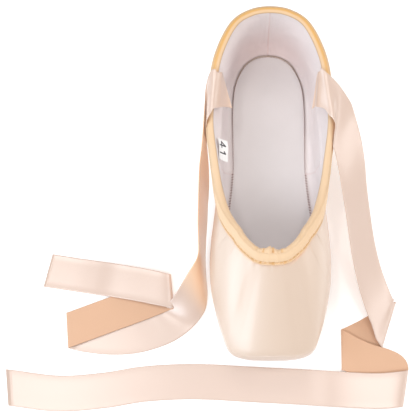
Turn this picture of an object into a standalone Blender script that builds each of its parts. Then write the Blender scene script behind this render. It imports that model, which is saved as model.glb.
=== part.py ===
"""Satin pointe shoe, standing empty on its sole. Metres, +Z up, toe towards -Y.

The shoe is worked out from the last: a table has one row for each section round
the shoe, from the middle of the platform to the middle of the heel, and the left
half mirrors the right one. Each row becomes a profile that starts under the sole,
turns up the side and ends at the collar. The upper, its casing, the insole and the
outsole are all cut from those profiles, so they follow every named size.
"""

import bpy
import bmesh
from math import cos, exp, pi, radians, sin
from mathutils import Vector

# Main sizes of the last, outside the satin
LENGTH = 0.228
BALL_WIDTH = 0.081
COLLAR_WIDTH = 0.0796
INSTEP_HEIGHT = 0.0540
SIDE_HEIGHT = 0.0425
HEEL_HEIGHT = 0.0590
VAMP_LENGTH = 0.0615
WAIST_PLACE = 0.111
SIDE_ROUND = 0.0070

# Wall, sole and insole
WALL = 0.0016
GAP = 0.0005
SOLE_THICKNESS = 0.0030
SOLE_EDGE_ROUND = 0.0010
LASTING_MARGIN = 0.0075
ARCH_LIFT = 0.0022
TOE_SPRING = 0.0018
INSOLE_THICKNESS = 0.0016
INSOLE_CLEARANCE = 0.0012

# Casing of the drawstring
CASING_DEPTH = 0.0076
CASING_LINING_DEPTH = 0.0052
CASING_PUFF = 0.0010
CASING_EDGE = 0.0005
CASING_GAP = 0.0007
GATHER_RISE = 0.0022
GATHER_SPREAD = 0.0044

# Pleats where the satin is drawn under the box
PLEAT_DEPTH = 0.0005
PLEATS_PER_SECTION = 1.5

# Ribbons
RIBBON_WIDTH = 0.0228
RIBBON_THICKNESS = 0.0005

# Places along the shoe
TOE_Y = -LENGTH / 2
THROAT_Y = TOE_Y + VAMP_LENGTH
WAIST_Y = TOE_Y + WAIST_PLACE
HEEL_Y = LENGTH / 2
SPINE_FRONT = TOE_Y + 0.20 * LENGTH
SPINE_REAR = HEEL_Y - 0.17 * LENGTH
HALF_BALL = BALL_WIDTH / 2
HALF_COLLAR = COLLAR_WIDTH / 2

# Places of the flat spots that meet the floor, as shares of the length
TREAD_FLAT = (0.14, 0.34)
HEEL_FLAT = 0.76

# One row for each section, as shares: y of LENGTH, x of half the ball width and z
# of INSTEP_HEIGHT. The top's y runs from throat to heel and its x is a share of
# half the collar width. wide is the widest point; low and high are the corners
# that the profile rounds below and above it; in is how far a corner lies inside
# the widest point; round is the share of both straights that a rounding takes.
COLUMNS = (
    "sole_y", "sole_x", "wide_y", "wide_x", "wide_z",
    "low_in", "low_z", "low_round", "high_in", "high_z", "high_round",
    "top_y", "top_x",
)
SECTIONS = (
    (0.068, 0.000, 0.000, 0.000, 0.35, 0.010, 0.120, 0.30, 0.020, 0.590, 0.12, 0.000, 0.000),
    (0.070, 0.200, 0.001, 0.345, 0.35, 0.020, 0.120, 0.30, 0.025, 0.570, 0.14, 0.001, 0.085),
    (0.081, 0.370, 0.008, 0.570, 0.35, 0.040, 0.130, 0.35, 0.045, 0.525, 0.24, 0.004, 0.165),
    (0.101, 0.482, 0.024, 0.696, 0.35, 0.050, 0.120, 0.50, 0.045, 0.520, 0.46, 0.012, 0.240),
    (0.127, 0.551, 0.061, 0.780, 0.35, 0.050, 0.085, 0.55, 0.045, 0.580, 0.70, 0.027, 0.315),
    (0.162, 0.617, 0.120, 0.879, 0.35, 0.040, 0.065, 0.55, 0.050, 0.650, 0.90, 0.048, 0.402),
    (0.219, 0.662, 0.199, 0.970, 0.36, 0.030, 0.061, 0.55, 0.075, 0.705, 1.00, 0.078, 0.490),
    (0.281, 0.667, 0.281, 1.000, 0.37, 0.030, 0.061, 0.55, 0.100, 0.725, 1.00, 0.126, 0.616),
    (0.364, 0.605, 0.364, 0.970, 0.39, 0.030, 0.061, 0.52, 0.085, 0.705, 1.00, 0.186, 0.741),
    (0.461, 0.481, 0.465, 0.904, 0.43, 0.040, 0.061, 0.50, 0.035, 0.640, 1.00, 0.285, 0.859),
    (0.566, 0.420, 0.566, 0.864, 0.46, 0.050, 0.061, 0.50, -0.025, 0.640, 1.00, 0.405, 0.935),
    (0.667, 0.457, 0.667, 0.859, 0.48, 0.050, 0.061, 0.50, -0.070, 0.680, 1.00, 0.544, 1.000),
    (0.772, 0.526, 0.772, 0.835, 0.48, 0.050, 0.061, 0.50, -0.070, 0.720, 1.00, 0.677, 0.955),
    (0.860, 0.551, 0.868, 0.765, 0.46, 0.050, 0.061, 0.55, -0.060, 0.780, 1.00, 0.808, 0.850),
    (0.928, 0.432, 0.947, 0.568, 0.44, 0.050, 0.061, 0.68, -0.030, 0.780, 1.00, 0.929, 0.610),
    (0.956, 0.235, 0.990, 0.296, 0.43, 0.050, 0.061, 0.74, -0.005, 0.780, 1.00, 0.980, 0.320),
    (0.965, 0.000, 1.000, 0.000, 0.43, 0.050, 0.061, 0.76, 0.005, 0.780, 1.00, 0.994, 0.000),
)
LAST_SECTION = len(SECTIONS) - 1

# Routes of the two ribbons, from the sewn end inside the quarter over the collar
# and down to the floor. Each row holds the middle of the ribbon in millimetres,
# the heading of its cross line in degrees from +X, and that line's rise in degrees.
MM = 0.001
RIGHT_ROUTE = (
    (32.2, 61.6, 42.5, 92, 20),
    (32.5, 60.6, 47.4, 92, 18),
    (32.0, 58.8, 52.0, 93, 15),
    (35.0, 56.5, 55.3, 99, 11),
    (38.0, 53.0, 56.1, 99, 11),
    (41.0, 49.5, 54.2, 94, 10),
    (44.1, 43.6, 49.8, 80, 8),
    (48.1, 33.0, 45.2, 62, 2),
    (51.4, 22.5, 40.2, 50, -8),
    (54.0, 10.2, 35.5, 40, -19),
    (55.9, -4.5, 30.5, 33, -28),
    (57.8, -17.4, 26.5, 26, -33),
    (59.8, -30.7, 22.5, 20, -35),
    (62.2, -44.4, 18.5, 16, -34),
    (66.0, -58.8, 13.5, 18, -30),
    (70.7, -72.0, 8.2, 32, -20),
    (75.0, -82.0, 4.6, 56, -8),
    (77.4, -88.1, 3.0, 71, 0),
    (78.8, -88.8, 1.7, 71, 0),
    (77.4, -88.6, 0.5, 71, 0),
    (63.0, -96.9, 0.5, 79, 0),
    (50.4, -103.8, 0.5, 88, 0),
    (47.0, -105.2, 1.6, 89, 0),
    (50.4, -106.8, 2.7, 88, 0),
    (67.5, -117.0, 1.9, 85, 0),
    (84.0, -127.6, 0.5, 80, 0),
    (87.6, -130.0, 2.0, 79, 0),
    (84.0, -131.0, 3.6, 80, 0),
    (68.2, -132.1, 3.8, 87, 0),
    (42.4, -130.9, 3.4, 89, 0),
    (19.6, -129.3, 1.2, 89, 0),
    (-14.4, -127.5, 0.5, 90, 0),
    (-37.9, -126.1, 0.5, 91, 0),
    (-59.2, -125.9, 0.5, 89, 0),
    (-84.0, -127.5, 0.5, 86, 0),
    (-109.0, -131.4, 0.5, 82, 0),
    (-138.8, -133.4, 0.5, 89, 0),
    (-172.1, -129.5, 0.5, 98, 0),
)
LEFT_ROUTE = (
    (-32.0, 62.6, 41.0, 90, 30),
    (-32.0, 61.2, 45.4, 89, 28),
    (-32.2, 59.4, 50.2, 88, 24),
    (-33.6, 57.2, 54.8, 85, 15),
    (-37.4, 55.4, 57.2, 84, 12),
    (-40.6, 52.4, 54.6, 86, 16),
    (-42.2, 45.8, 48.8, 89, 27),
    (-42.6, 36.8, 42.0, 92, 38),
    (-42.7, 26.4, 35.4, 97, 48),
    (-43.2, 14.5, 28.6, 103, 56),
    (-44.4, 0.5, 23.2, 110, 62),
    (-45.0, -15.5, 18.8, 115, 65),
    (-45.5, -29.5, 16.0, 115, 67),
    (-45.4, -40.5, 14.2, 113, 68),
    (-45.2, -50.5, 13.2, 115, 66),
    (-46.4, -60.0, 11.6, 122, 54),
    (-49.8, -69.0, 8.6, 130, 36),
    (-55.0, -77.0, 4.4, 136, 16),
    (-62.0, -84.2, 1.0, 138, 2),
    (-72.6, -90.8, 0.5, 128, 0),
    (-89.0, -95.8, 0.5, 108, 0),
    (-106.0, -96.8, 0.5, 95, 0),
    (-122.0, -95.0, 0.5, 92, 0),
    (-131.0, -93.2, 0.5, 94, 0),
    (-134.4, -92.2, 1.6, 96, 0),
    (-131.0, -91.2, 2.7, 96, 0),
    (-110.0, -83.2, 2.0, 100, 0),
    (-88.0, -75.0, 1.7, 106, 0),
    (-77.0, -70.6, 1.7, 104, 0),
    (-69.4, -67.6, 1.7, 98, 0),
    (-65.6, -66.4, 2.8, 96, 0),
    (-69.4, -65.6, 3.9, 94, 0),
    (-84.0, -62.4, 3.5, 86, 0),
    (-104.0, -58.8, 2.8, 81, 0),
    (-118.0, -56.4, 1.3, 81, 0),
    (-132.0, -54.2, 0.5, 81, 0),
    (-150.0, -51.4, 0.5, 78, 0),
)

# Fineness of the meshes
COLUMNS_PER_SECTION = 3
ROWS_BELOW = 6
ROWS_ABOVE = 11
CREASE_ROW = 3
CREASE_HALF_WIDTH = 0.0013
PROFILE_STEPS = 14
RIBBON_STEPS = 2
MOST_OBLIQUE = 0.71

# Steps over which a slope of the surface is measured
SECTION_STEP = 0.02
SLOPE_REACH = 0.0005
EDGE_REACH = 0.0020


def blend(a, b, share):
    """Value between a and b."""
    return a + (b - a) * share


def smooth(share):
    """Ease from 0 to 1 without a kink at either end."""
    share = min(max(share, 0.0), 1.0)
    return 0.5 - 0.5 * cos(pi * share)


def through(p0, p1, p2, p3, t):
    """Smooth curve through p1 and p2, steered by their neighbours."""
    return 0.5 * (
        2 * p1
        + (p2 - p0) * t
        + (2 * p0 - 5 * p1 + 4 * p2 - p3) * t * t
        + (3 * p1 - p0 - 3 * p2 + p3) * t * t * t
    )


def section_row(index):
    """A table row as a dictionary, mirrored past the toe and the heel."""
    flip = 1.0
    if index < 0:
        index = -index
        flip = -1.0
    if index > LAST_SECTION:
        index = 2 * LAST_SECTION - index
        flip = -1.0
    row = dict(zip(COLUMNS, SECTIONS[index]))
    for name in ("sole_x", "wide_x", "top_x"):
        row[name] *= flip
    return row


def section_at(u):
    """Shares of the section at u, which counts rows from the toe to the heel."""
    base = min(int(u), LAST_SECTION - 1)
    rows = [section_row(base + k) for k in (-1, 0, 1, 2)]
    return {name: through(*[row[name] for row in rows], u - base) for name in COLUMNS}


def lift(y):
    """Height of the tread above the floor: flat at ball and heel, raised between."""
    share = (y - TOE_Y) / LENGTH
    if share < TREAD_FLAT[0]:
        return TOE_SPRING * smooth((TREAD_FLAT[0] - share) / TREAD_FLAT[0])
    if TREAD_FLAT[1] < share < HEEL_FLAT:
        return ARCH_LIFT * sin(pi * (share - TREAD_FLAT[1]) / (HEEL_FLAT - TREAD_FLAT[1])) ** 2
    return 0.0


def rim_height(y):
    """Height of the collar: high at the throat, lowest at the waist, highest behind."""
    if y < WAIST_Y:
        return blend(INSTEP_HEIGHT, SIDE_HEIGHT, smooth((y - THROAT_Y) / (WAIST_Y - THROAT_Y)))
    return blend(SIDE_HEIGHT, HEEL_HEIGHT, smooth((y - WAIST_Y) / (HEEL_Y - WAIST_Y)))


def spine_under(point):
    """Nearest point of the shoe's middle line, at the same height."""
    return Vector((0.0, min(max(point.y, SPINE_FRONT), SPINE_REAR), point.z))


def inset(point, distance):
    """Point moved level towards the shoe's middle line."""
    to_spine = spine_under(point) - point
    if to_spine.length < 1e-9:
        return point.copy()
    return point + to_spine.normalized() * distance


def corners_at(u):
    """Foot, low, widest, high and top points of the section at u."""
    row = section_at(u)
    sole = Vector((row["sole_x"] * HALF_BALL, TOE_Y + row["sole_y"] * LENGTH, 0.0))
    foot = inset(sole, LASTING_MARGIN)
    foot.z = SOLE_THICKNESS + GAP + lift(foot.y)
    wide = Vector((row["wide_x"] * HALF_BALL, TOE_Y + row["wide_y"] * LENGTH, 0.0))
    low = inset(wide, row["low_in"] * HALF_BALL)
    low.z = row["low_z"] * INSTEP_HEIGHT + lift(low.y)
    high = inset(wide, row["high_in"] * HALF_BALL)
    high.z = row["high_z"] * INSTEP_HEIGHT
    wide.z = row["wide_z"] * INSTEP_HEIGHT
    top = Vector((row["top_x"] * HALF_COLLAR, blend(THROAT_Y, HEEL_Y, row["top_y"]), 0.0))
    top.z = rim_height(top.y)
    return foot, low, wide, high, top, row


def rounded(start, corner, end, share):
    """Polyline from start to end that rounds the corner between them."""
    first = corner.lerp(start, share)
    last = corner.lerp(end, share)
    points = [start]
    for step in range(PROFILE_STEPS + 1):
        t = step / PROFILE_STEPS
        points.append(first.lerp(corner, t).lerp(corner.lerp(last, t), t))
    points.append(end)
    return points


def lengths(points):
    """Running length along a polyline."""
    total = [0.0]
    for a, b in zip(points, points[1:]):
        total.append(total[-1] + (b - a).length)
    return total


def along(points, distance):
    """Point at a distance along a polyline, held within its ends."""
    total = lengths(points)
    distance = min(max(distance, 0.0), total[-1])
    for k in range(len(points) - 1):
        span = total[k + 1] - total[k]
        if distance <= total[k + 1] and span > 1e-12:
            return points[k].lerp(points[k + 1], (distance - total[k]) / span)
    return points[-1].copy()


def length_of(points):
    """Whole length of a polyline."""
    return lengths(points)[-1]


def eased(below, above, wide):
    """Both parts of a profile, rounded into each other at the widest point."""
    start = along(below, length_of(below) - SIDE_ROUND)
    end = along(above, SIDE_ROUND)
    bend = []
    for step in range(PROFILE_STEPS + 1):
        t = step / PROFILE_STEPS
        bend.append(start.lerp(wide, t).lerp(wide.lerp(end, t), t))
    half = PROFILE_STEPS // 2
    under = [p for p, far in zip(below, lengths(below)) if far < length_of(below) - SIDE_ROUND]
    over = [p for p, far in zip(above, lengths(above)) if far > SIDE_ROUND]
    return under + bend[:half + 1], bend[half:] + over


def profile_rows(u):
    """Points up the section at u, drawn together at the platform's upper edge."""
    foot, low, wide, high, top, row = corners_at(u)
    below = rounded(foot, low, wide, row["low_round"])
    above = rounded(wide, high, top, row["high_round"])
    edge = above[1 + PROFILE_STEPS // 2]
    below, above = eased(below, above, wide)
    rows = [along(below, length_of(below) * k / ROWS_BELOW) for k in range(ROWS_BELOW)]
    length = length_of(above)
    crease = lengths(above)[above.index(edge)]
    tight = 1.0 - min(row["high_round"], 1.0)
    for k in range(ROWS_ABOVE + 1):
        even = length * k / ROWS_ABOVE
        if k < CREASE_ROW:
            drawn = (crease - CREASE_HALF_WIDTH) * k / (CREASE_ROW - 1)
        elif k == CREASE_ROW:
            drawn = crease
        else:
            share = (k - CREASE_ROW - 1) / (ROWS_ABOVE - CREASE_ROW - 1)
            drawn = blend(crease + CREASE_HALF_WIDTH, length, share)
        rows.append(along(above, blend(even, drawn, tight)))
    return rows


def surface(u, distance):
    """Point of the upper's outside at a length below the collar's edge."""
    foot, low, wide, high, top, row = corners_at(u)
    above = rounded(wide, high, top, row["high_round"])
    return along(above, length_of(above) - distance)


def outward(u, distance):
    """Unit normal of the upper's outside at a length below the collar's edge."""
    ahead = surface(u + SECTION_STEP, distance) if u + SECTION_STEP <= LAST_SECTION else None
    behind = surface(u - SECTION_STEP, distance) if u - SECTION_STEP >= 0 else None
    here = surface(u, distance)
    if ahead is None:
        ahead = Vector((-behind.x, behind.y, behind.z))
    if behind is None:
        behind = Vector((-ahead.x, ahead.y, ahead.z))
    below = surface(u, distance + SLOPE_REACH)
    above = surface(u, max(distance - SLOPE_REACH, 0.0))
    down = below - above
    normal = down.cross(ahead - behind).normalized()
    if normal.dot(here - spine_under(here)) < 0 and abs(u) > 1.5:
        normal.negate()
    if u <= 1.5 and normal.z < 0:
        normal.negate()
    return normal


def make_material(name, colour, roughness):
    """Principled material of one piece."""
    material = bpy.data.materials.new(name)
    material.use_nodes = True
    shader = material.node_tree.nodes["Principled BSDF"]
    shader.inputs["Base Color"].default_value = (*colour, 1.0)
    shader.inputs["Roughness"].default_value = roughness
    shader.inputs["Metallic"].default_value = 0.0
    return material


def add_mesh(name, points, faces, collection, material, smooth_angle=40):
    """Object from points and faces, with its faces turned outward."""
    mesh = bpy.data.meshes.new(name)
    mesh.from_pydata([tuple(p) for p in points], [], faces)
    build = bmesh.new()
    build.from_mesh(mesh)
    bmesh.ops.remove_doubles(build, verts=build.verts, dist=1e-6)
    bmesh.ops.recalc_face_normals(build, faces=build.faces)
    build.to_mesh(mesh)
    build.free()
    mesh.materials.append(material)
    mesh.shade_smooth()
    mesh.set_sharp_from_angle(angle=radians(smooth_angle))
    piece = bpy.data.objects.new(name, mesh)
    collection.objects.link(piece)
    return piece


def grid_faces(columns, rows, closed_columns=False, closed_rows=False):
    """Faces of a grid whose points run row by row within each column."""
    faces = []
    for c in range(columns if closed_columns else columns - 1):
        for r in range(rows if closed_rows else rows - 1):
            c2 = (c + 1) % columns
            r2 = (r + 1) % rows
            faces.append((c * rows + r, c2 * rows + r, c2 * rows + r2, c * rows + r2))
    return faces


def column_places():
    """Values of u for the columns of one half, toe to heel."""
    count = LAST_SECTION * COLUMNS_PER_SECTION
    return [k / COLUMNS_PER_SECTION for k in range(count + 1)]


def ring_places():
    """Pairs of u and side for a whole turn round the shoe."""
    half = column_places()
    right = [(u, 1.0) for u in half]
    left = [(u, -1.0) for u in reversed(half[1:-1])]
    return right + left


def mirrored(point, side):
    """Point on the right (1) or the left (-1) half."""
    return Vector((point.x * side, point.y, point.z))


def make_upper(collection):
    """Vamp, box, quarters and heel as one hollow wall, open below and at the collar."""
    points = []
    places = column_places()
    for u in places:
        rows = profile_rows(u)
        pleated = smooth((5.5 - u) / 2.0)
        for k, point in enumerate(rows):
            share = k / ROWS_BELOW
            if share < 1.0:
                fold = PLEAT_DEPTH * pleated * sin(pi * share)
                point = inset(point, fold * (1 - cos(2 * pi * PLEATS_PER_SECTION * u)))
            if u == 0 or u == LAST_SECTION:
                point.x = 0.0
            points.append(point)
    faces = grid_faces(len(places), ROWS_BELOW + ROWS_ABOVE + 1)
    satin = make_material("peach_satin", (0.90, 0.72, 0.60), 0.38)
    upper = add_mesh("upper", points, faces, collection, satin)
    mirror = upper.modifiers.new("both_halves", "MIRROR")
    mirror.use_clip = True
    mirror.merge_threshold = 0.0001
    wall = upper.modifiers.new("wall", "SOLIDIFY")
    wall.thickness = WALL
    wall.offset = -1.0
    wall.use_even_offset = True
    wall.use_rim = True
    return upper


def casing_section(u):
    """Loop of the casing round the wall's top edge, in the section at u."""
    edge = surface(u, 0.0)
    normal = outward(u, SLOPE_REACH)
    upward = (edge - surface(u, EDGE_REACH)).normalized()
    gather = GATHER_RISE * exp(-((edge.x / GATHER_SPREAD) ** 2)) if u < LAST_SECTION / 2 else 0.0
    out = CASING_GAP + CASING_PUFF
    inner = WALL + CASING_GAP

    def outside(distance, offset):
        return surface(u, distance) + outward(u, distance) * offset

    def inside(distance, offset):
        return surface(u, distance) - outward(u, distance) * (inner + offset)

    over = upward * (GAP + CASING_PUFF + gather)
    return [
        outside(CASING_DEPTH, CASING_GAP),
        outside(CASING_DEPTH, CASING_GAP + CASING_EDGE),
        outside(CASING_DEPTH * 0.75, out),
        outside(CASING_DEPTH * 0.30, out * 1.05),
        edge + normal * out * 0.80 + over * 0.55,
        edge - normal * WALL * 0.50 + over,
        edge - normal * (inner + CASING_PUFF * 0.60) + over * 0.55,
        inside(CASING_LINING_DEPTH * 0.30, CASING_PUFF),
        inside(CASING_LINING_DEPTH, CASING_EDGE),
        inside(CASING_LINING_DEPTH, 0.0),
        inside(0.0, 0.0) + upward * CASING_GAP,
        edge + normal * CASING_GAP + upward * CASING_GAP,
    ]


def make_casing(collection):
    """Folded strip round the collar that holds the drawstring."""
    points = []
    places = ring_places()
    for u, side in places:
        loop = [mirrored(p, side) for p in casing_section(u)]
        points += loop
    rows = len(casing_section(0.0))
    faces = grid_faces(len(places), rows, closed_columns=True, closed_rows=True)
    tape = make_material("casing_satin", (0.92, 0.70, 0.45), 0.45)
    return add_mesh("casing", points, faces, collection, tape)


def slab(outline, layers):
    """Points and faces of a flat piece: rings that shrink onto the middle line.

    layers holds pairs of the share of the full outline and a height function.
    """
    points = []
    for share, height in layers:
        for edge in outline:
            spine = spine_under(edge)
            point = spine.lerp(edge, share)
            point.z = height(point.y)
            points.append(point)
    count = len(outline)
    faces = []
    for layer in range(len(layers) - 1):
        for k in range(count):
            k2 = (k + 1) % count
            a = layer * count
            faces.append((a + k, a + k2, a + count + k2, a + count + k))
    return points, faces


def sole_outline():
    """Outline of the leather outsole."""
    points = []
    for u, side in ring_places():
        row = section_at(u)
        sole = Vector((row["sole_x"] * HALF_BALL, TOE_Y + row["sole_y"] * LENGTH, 0.0))
        points.append(mirrored(sole, side))
    return points


def make_outsole(collection):
    """Leather outsole, narrower than the shoe, flat at the ball and the heel."""
    rim = SOLE_EDGE_ROUND

    def bottom(y):
        return lift(y)

    def top(y):
        return lift(y) + SOLE_THICKNESS

    layers = [
        (0.0, bottom),
        (0.90, bottom),
        (1.0, lambda y: bottom(y) + rim),
        (1.0, lambda y: top(y) - rim * 0.5),
        (0.96, top),
        (0.0, top),
    ]
    points, faces = slab(sole_outline(), layers)
    leather = make_material("sole_leather", (0.62, 0.45, 0.33), 0.70)
    return add_mesh("outsole", points, faces, collection, leather)


def insole_height(y):
    """Underside of the insole."""
    return SOLE_THICKNESS + GAP + WALL + GAP + lift(y)


def insole_outline():
    """Outline up to where the wall's inner side starts to rise."""
    points = []
    for u, side in ring_places():
        foot, low, wide, high, top, row = corners_at(u)
        below = rounded(foot, low, wide, row["low_round"])
        floor = SOLE_THICKNESS + GAP + GAP * 0.5
        flat = [p for p in below if p.z - lift(p.y) < floor]
        points.append(mirrored(inset(flat[-1], INSOLE_CLEARANCE), side))
    return points


def make_insole(collection):
    """Insole board with its lining, resting inside the upper."""
    layers = [
        (0.0, insole_height),
        (0.97, insole_height),
        (1.0, lambda y: insole_height(y) + INSOLE_THICKNESS * 0.4),
        (0.98, lambda y: insole_height(y) + INSOLE_THICKNESS),
        (0.0, lambda y: insole_height(y) + INSOLE_THICKNESS),
    ]
    points, faces = slab(insole_outline(), layers)
    board = make_material("insole_cloth", (0.74, 0.68, 0.66), 0.85)
    return add_mesh("insole", points, faces, collection, board)


def route_point(route, index):
    """Route row as numbers, carried straight on past either end."""
    if index < 0:
        return [2 * a - b for a, b in zip(route[0], route[1])]
    if index >= len(route):
        return [2 * a - b for a, b in zip(route[-1], route[-2])]
    return list(route[index])


def route_samples(route):
    """Middles and cross lines read off a smooth curve through a route's rows."""
    samples = []
    for base in range(len(route) - 1):
        rows = [route_point(route, base + k) for k in (-1, 0, 1, 2)]
        for step in range(RIBBON_STEPS):
            t = step / RIBBON_STEPS
            samples.append([through(*values, t) for values in zip(*rows)])
    samples.append(list(route[-1]))
    middles = [Vector(s[:3]) * MM for s in samples]
    across = []
    for s in samples:
        heading = radians(s[3])
        rise = radians(s[4])
        across.append(Vector((cos(heading) * cos(rise), sin(heading) * cos(rise), sin(rise))))
    return middles, across


def make_ribbon(name, route, collection, material):
    """Flat ribbon along a route, of one width and thickness."""
    middles, across = route_samples(route)
    count = len(middles)
    points = []
    for k in range(count):
        ahead = middles[min(k + 1, count - 1)]
        behind = middles[max(k - 1, 0)]
        forward = (ahead - behind).normalized()
        facing = forward.cross(across[k])
        half = RIBBON_WIDTH / 2 / max(facing.length, MOST_OBLIQUE)
        facing = facing.normalized() * (RIBBON_THICKNESS / 2)
        edge = across[k] * half
        points += [
            middles[k] - edge - facing,
            middles[k] + edge - facing,
            middles[k] + edge + facing,
            middles[k] - edge + facing,
        ]
    faces = grid_faces(count, 4, closed_rows=True)
    faces.append((0, 1, 2, 3))
    faces.append(tuple(4 * (count - 1) + k for k in (3, 2, 1, 0)))
    return add_mesh(name, points, faces, collection, material)


def main():
    """Build the shoe."""
    for old in list(bpy.data.objects):
        bpy.data.objects.remove(old, do_unlink=True)
    collection = bpy.data.collections.new("pointe_shoe")
    bpy.context.scene.collection.children.link(collection)
    make_upper(collection)
    make_casing(collection)
    make_insole(collection)
    make_outsole(collection)
    satin = make_material("ribbon_satin", (0.89, 0.70, 0.58), 0.35)
    make_ribbon("ribbon_right", RIGHT_ROUTE, collection, satin)
    make_ribbon("ribbon_left", LEFT_ROUTE, collection, satin)


main()
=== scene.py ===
# %% [markdown]
# # A satin pointe shoe
# A pointe shoe is a stiff box of glued cloth, covered in satin, with soft quarters
# round the foot and a narrow leather sole. This lesson dresses the bare solids of
# one shoe, piece by piece: satin, lining, casing, insole, sole and two ribbons.
# The solids come in first, because every dressed piece has to lie where they are.

# %% Load the bare shoe
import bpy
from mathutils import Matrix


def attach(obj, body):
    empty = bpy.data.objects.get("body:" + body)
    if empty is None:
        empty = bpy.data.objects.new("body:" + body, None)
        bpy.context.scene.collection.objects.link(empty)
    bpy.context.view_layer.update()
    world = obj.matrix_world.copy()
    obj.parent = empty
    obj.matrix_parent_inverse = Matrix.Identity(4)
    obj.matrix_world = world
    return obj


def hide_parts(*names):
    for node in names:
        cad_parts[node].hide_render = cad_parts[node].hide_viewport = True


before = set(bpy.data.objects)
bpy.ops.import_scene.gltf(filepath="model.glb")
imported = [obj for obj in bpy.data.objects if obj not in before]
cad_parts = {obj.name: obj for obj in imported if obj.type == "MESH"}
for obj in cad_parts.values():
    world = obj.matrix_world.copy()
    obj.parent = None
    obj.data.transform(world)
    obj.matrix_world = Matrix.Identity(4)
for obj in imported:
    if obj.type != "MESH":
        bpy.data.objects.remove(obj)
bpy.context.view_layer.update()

from math import cos, pi, radians, sin

import bmesh
import bpy
import numpy as np
from mathutils import Matrix, Vector

MM = 0.001
print("solids:", sorted(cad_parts))

# %% [markdown]
# ## The camera
# The picture looks down steeply from in front of the toe. A long lens far away would
# flatten the shoe, so the camera stands close, about 60 cm up. The shoe is right of
# the middle of the picture. Shifting the lens does that without turning the camera.

# %% Stand the camera in front of the toe
CAMERA_PLACE = (-0.020, -0.1856, 0.600)
CAMERA_TILT = 73.5
FOCAL_PIXELS = 904.5
PICTURE_WIDTH = 417
SHOE_AXIS_SHIFT = -0.0757
SENSOR_WIDTH = 36.0
NEAREST_SEEN = 0.01

camera_data = bpy.data.cameras.new("camera")
camera_data.sensor_fit = "HORIZONTAL"
camera_data.sensor_width = SENSOR_WIDTH
camera_data.lens = FOCAL_PIXELS / PICTURE_WIDTH * SENSOR_WIDTH
camera_data.shift_x = SHOE_AXIS_SHIFT
camera_data.clip_start = NEAREST_SEEN
camera = bpy.data.objects.new("camera", camera_data)
camera.location = CAMERA_PLACE
camera.rotation_euler = (radians(90.0 - CAMERA_TILT), 0.0, 0.0)
bpy.context.scene.collection.objects.link(camera)
bpy.context.scene.camera = camera
print("lens in mm:", round(camera_data.lens, 1))

# %% [markdown]
# ## Lofting
# Nearly every piece of a shoe is a strip bent round the foot. So one helper makes
# them all: it takes rings of points and joins each ring to the next. A closed ring
# gives a wall with an outside and an inside, and its flat coordinates are in metres,
# so a weave has the same thread size on every piece. A piece that isn't closed across
# may end in a point or a line, so its points that fall together are welded.

# %% A helper that joins rings of points into a piece
WELD_DISTANCE = 1e-6


def running(points):
    """Running length along rows of points, from zero."""
    steps = np.linalg.norm(np.diff(points, axis=0), axis=-1)
    return np.concatenate([[0.0], np.cumsum(steps)])


def loft(name, rings, closed_round=True, closed_across=True, caps=False, shade=None,
         second=None):
    """Mesh through rings[c, r]: ring c is a loop of points r, closed or open."""
    count, size = rings.shape[:2]
    c = np.arange(count if closed_round else count - 1)
    r = np.arange(size if closed_across else size - 1)
    c, r = np.meshgrid(c, r, indexing="ij")
    c2 = (c + 1) % count
    r2 = (r + 1) % size
    quads = np.stack([c * size + r, c2 * size + r, c2 * size + r2, c * size + r2], -1)
    faces = quads.reshape(-1, 4).tolist()
    if caps:
        faces.append(list(range(size))[::-1])
        faces.append([(count - 1) * size + k for k in range(size)])
    mesh = bpy.data.meshes.new(name)
    mesh.from_pydata(rings.reshape(-1, 3).tolist(), [], faces)

    middle = rings.mean(axis=1)
    if closed_round:
        middle = np.concatenate([middle, middle[:1]])
    around = running(middle)
    mean_ring = rings[count // 2]
    across = running(np.concatenate([mean_ring, mean_ring[:1]]))
    corner_c = np.stack([c, c + 1, c + 1, c], -1).reshape(-1)
    corner_r = np.stack([r, r, r + 1, r + 1], -1).reshape(-1)
    flat = np.zeros((len(mesh.loops), 2))
    around = np.append(around, around[-1])
    flat[:len(corner_c), 0] = around[corner_c]
    flat[:len(corner_r), 1] = across[corner_r]
    layer = mesh.uv_layers.new(name="UVMap")
    layer.data.foreach_set("uv", flat.astype(np.float32).ravel())
    if shade is not None:
        field = mesh.attributes.new("shade", "FLOAT", "POINT")
        field.data.foreach_set("value", np.asarray(shade, np.float32).ravel())
    if not closed_across:
        sheet = bmesh.new()
        sheet.from_mesh(mesh)
        bmesh.ops.remove_doubles(sheet, verts=sheet.verts, dist=WELD_DISTANCE)
        sheet.to_mesh(mesh)
        sheet.free()
    mesh.shade_smooth()
    piece = bpy.data.objects.new(name, mesh)
    bpy.context.scene.collection.objects.link(piece)
    if second is not None:
        marks = np.zeros(len(mesh.polygons), np.int32)
        marks[:second.size] = second.ravel()
        mesh.polygons.foreach_set("material_index", marks)
    return piece


print("along a step of 3 by 4:", running(np.array([(0.0, 0.0), (3.0, 4.0)]))[-1])

# %% [markdown]
# Each finished piece is told what it is made of and that it rides with the shoe, and if
# it takes the place of a bare solid, that solid is hidden. A small helper does it in one line.

# %% A helper that dresses a piece
def dress(piece, slot, *materials, stands_for=()):
    """Give a piece its finish and let it ride with the shoe."""
    for material in materials:
        piece.data.materials.append(material)
    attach(piece, "root")
    if stands_for:
        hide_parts(*stands_for)
    print(piece.name, "has", len(piece.data.polygons), "faces")


# %% [markdown]
# ## Cloth finishes
# Cloth is a colour, a weave and a sheen. The weave here is a bump, not a picture, so
# it stays sharp at any distance. Plain cotton takes two crossed wave patterns. Satin
# takes long thin noise, because its threads float on the face. The rough side of
# leather takes the same noise, almost as wide as it is long.

# %% A helper that makes the bump of a weave
def add(tree, kind, **settings):
    """Node of a kind, with its settings."""
    node = tree.nodes.new(kind)
    for key, value in settings.items():
        setattr(node, key, value)
    return node


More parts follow.
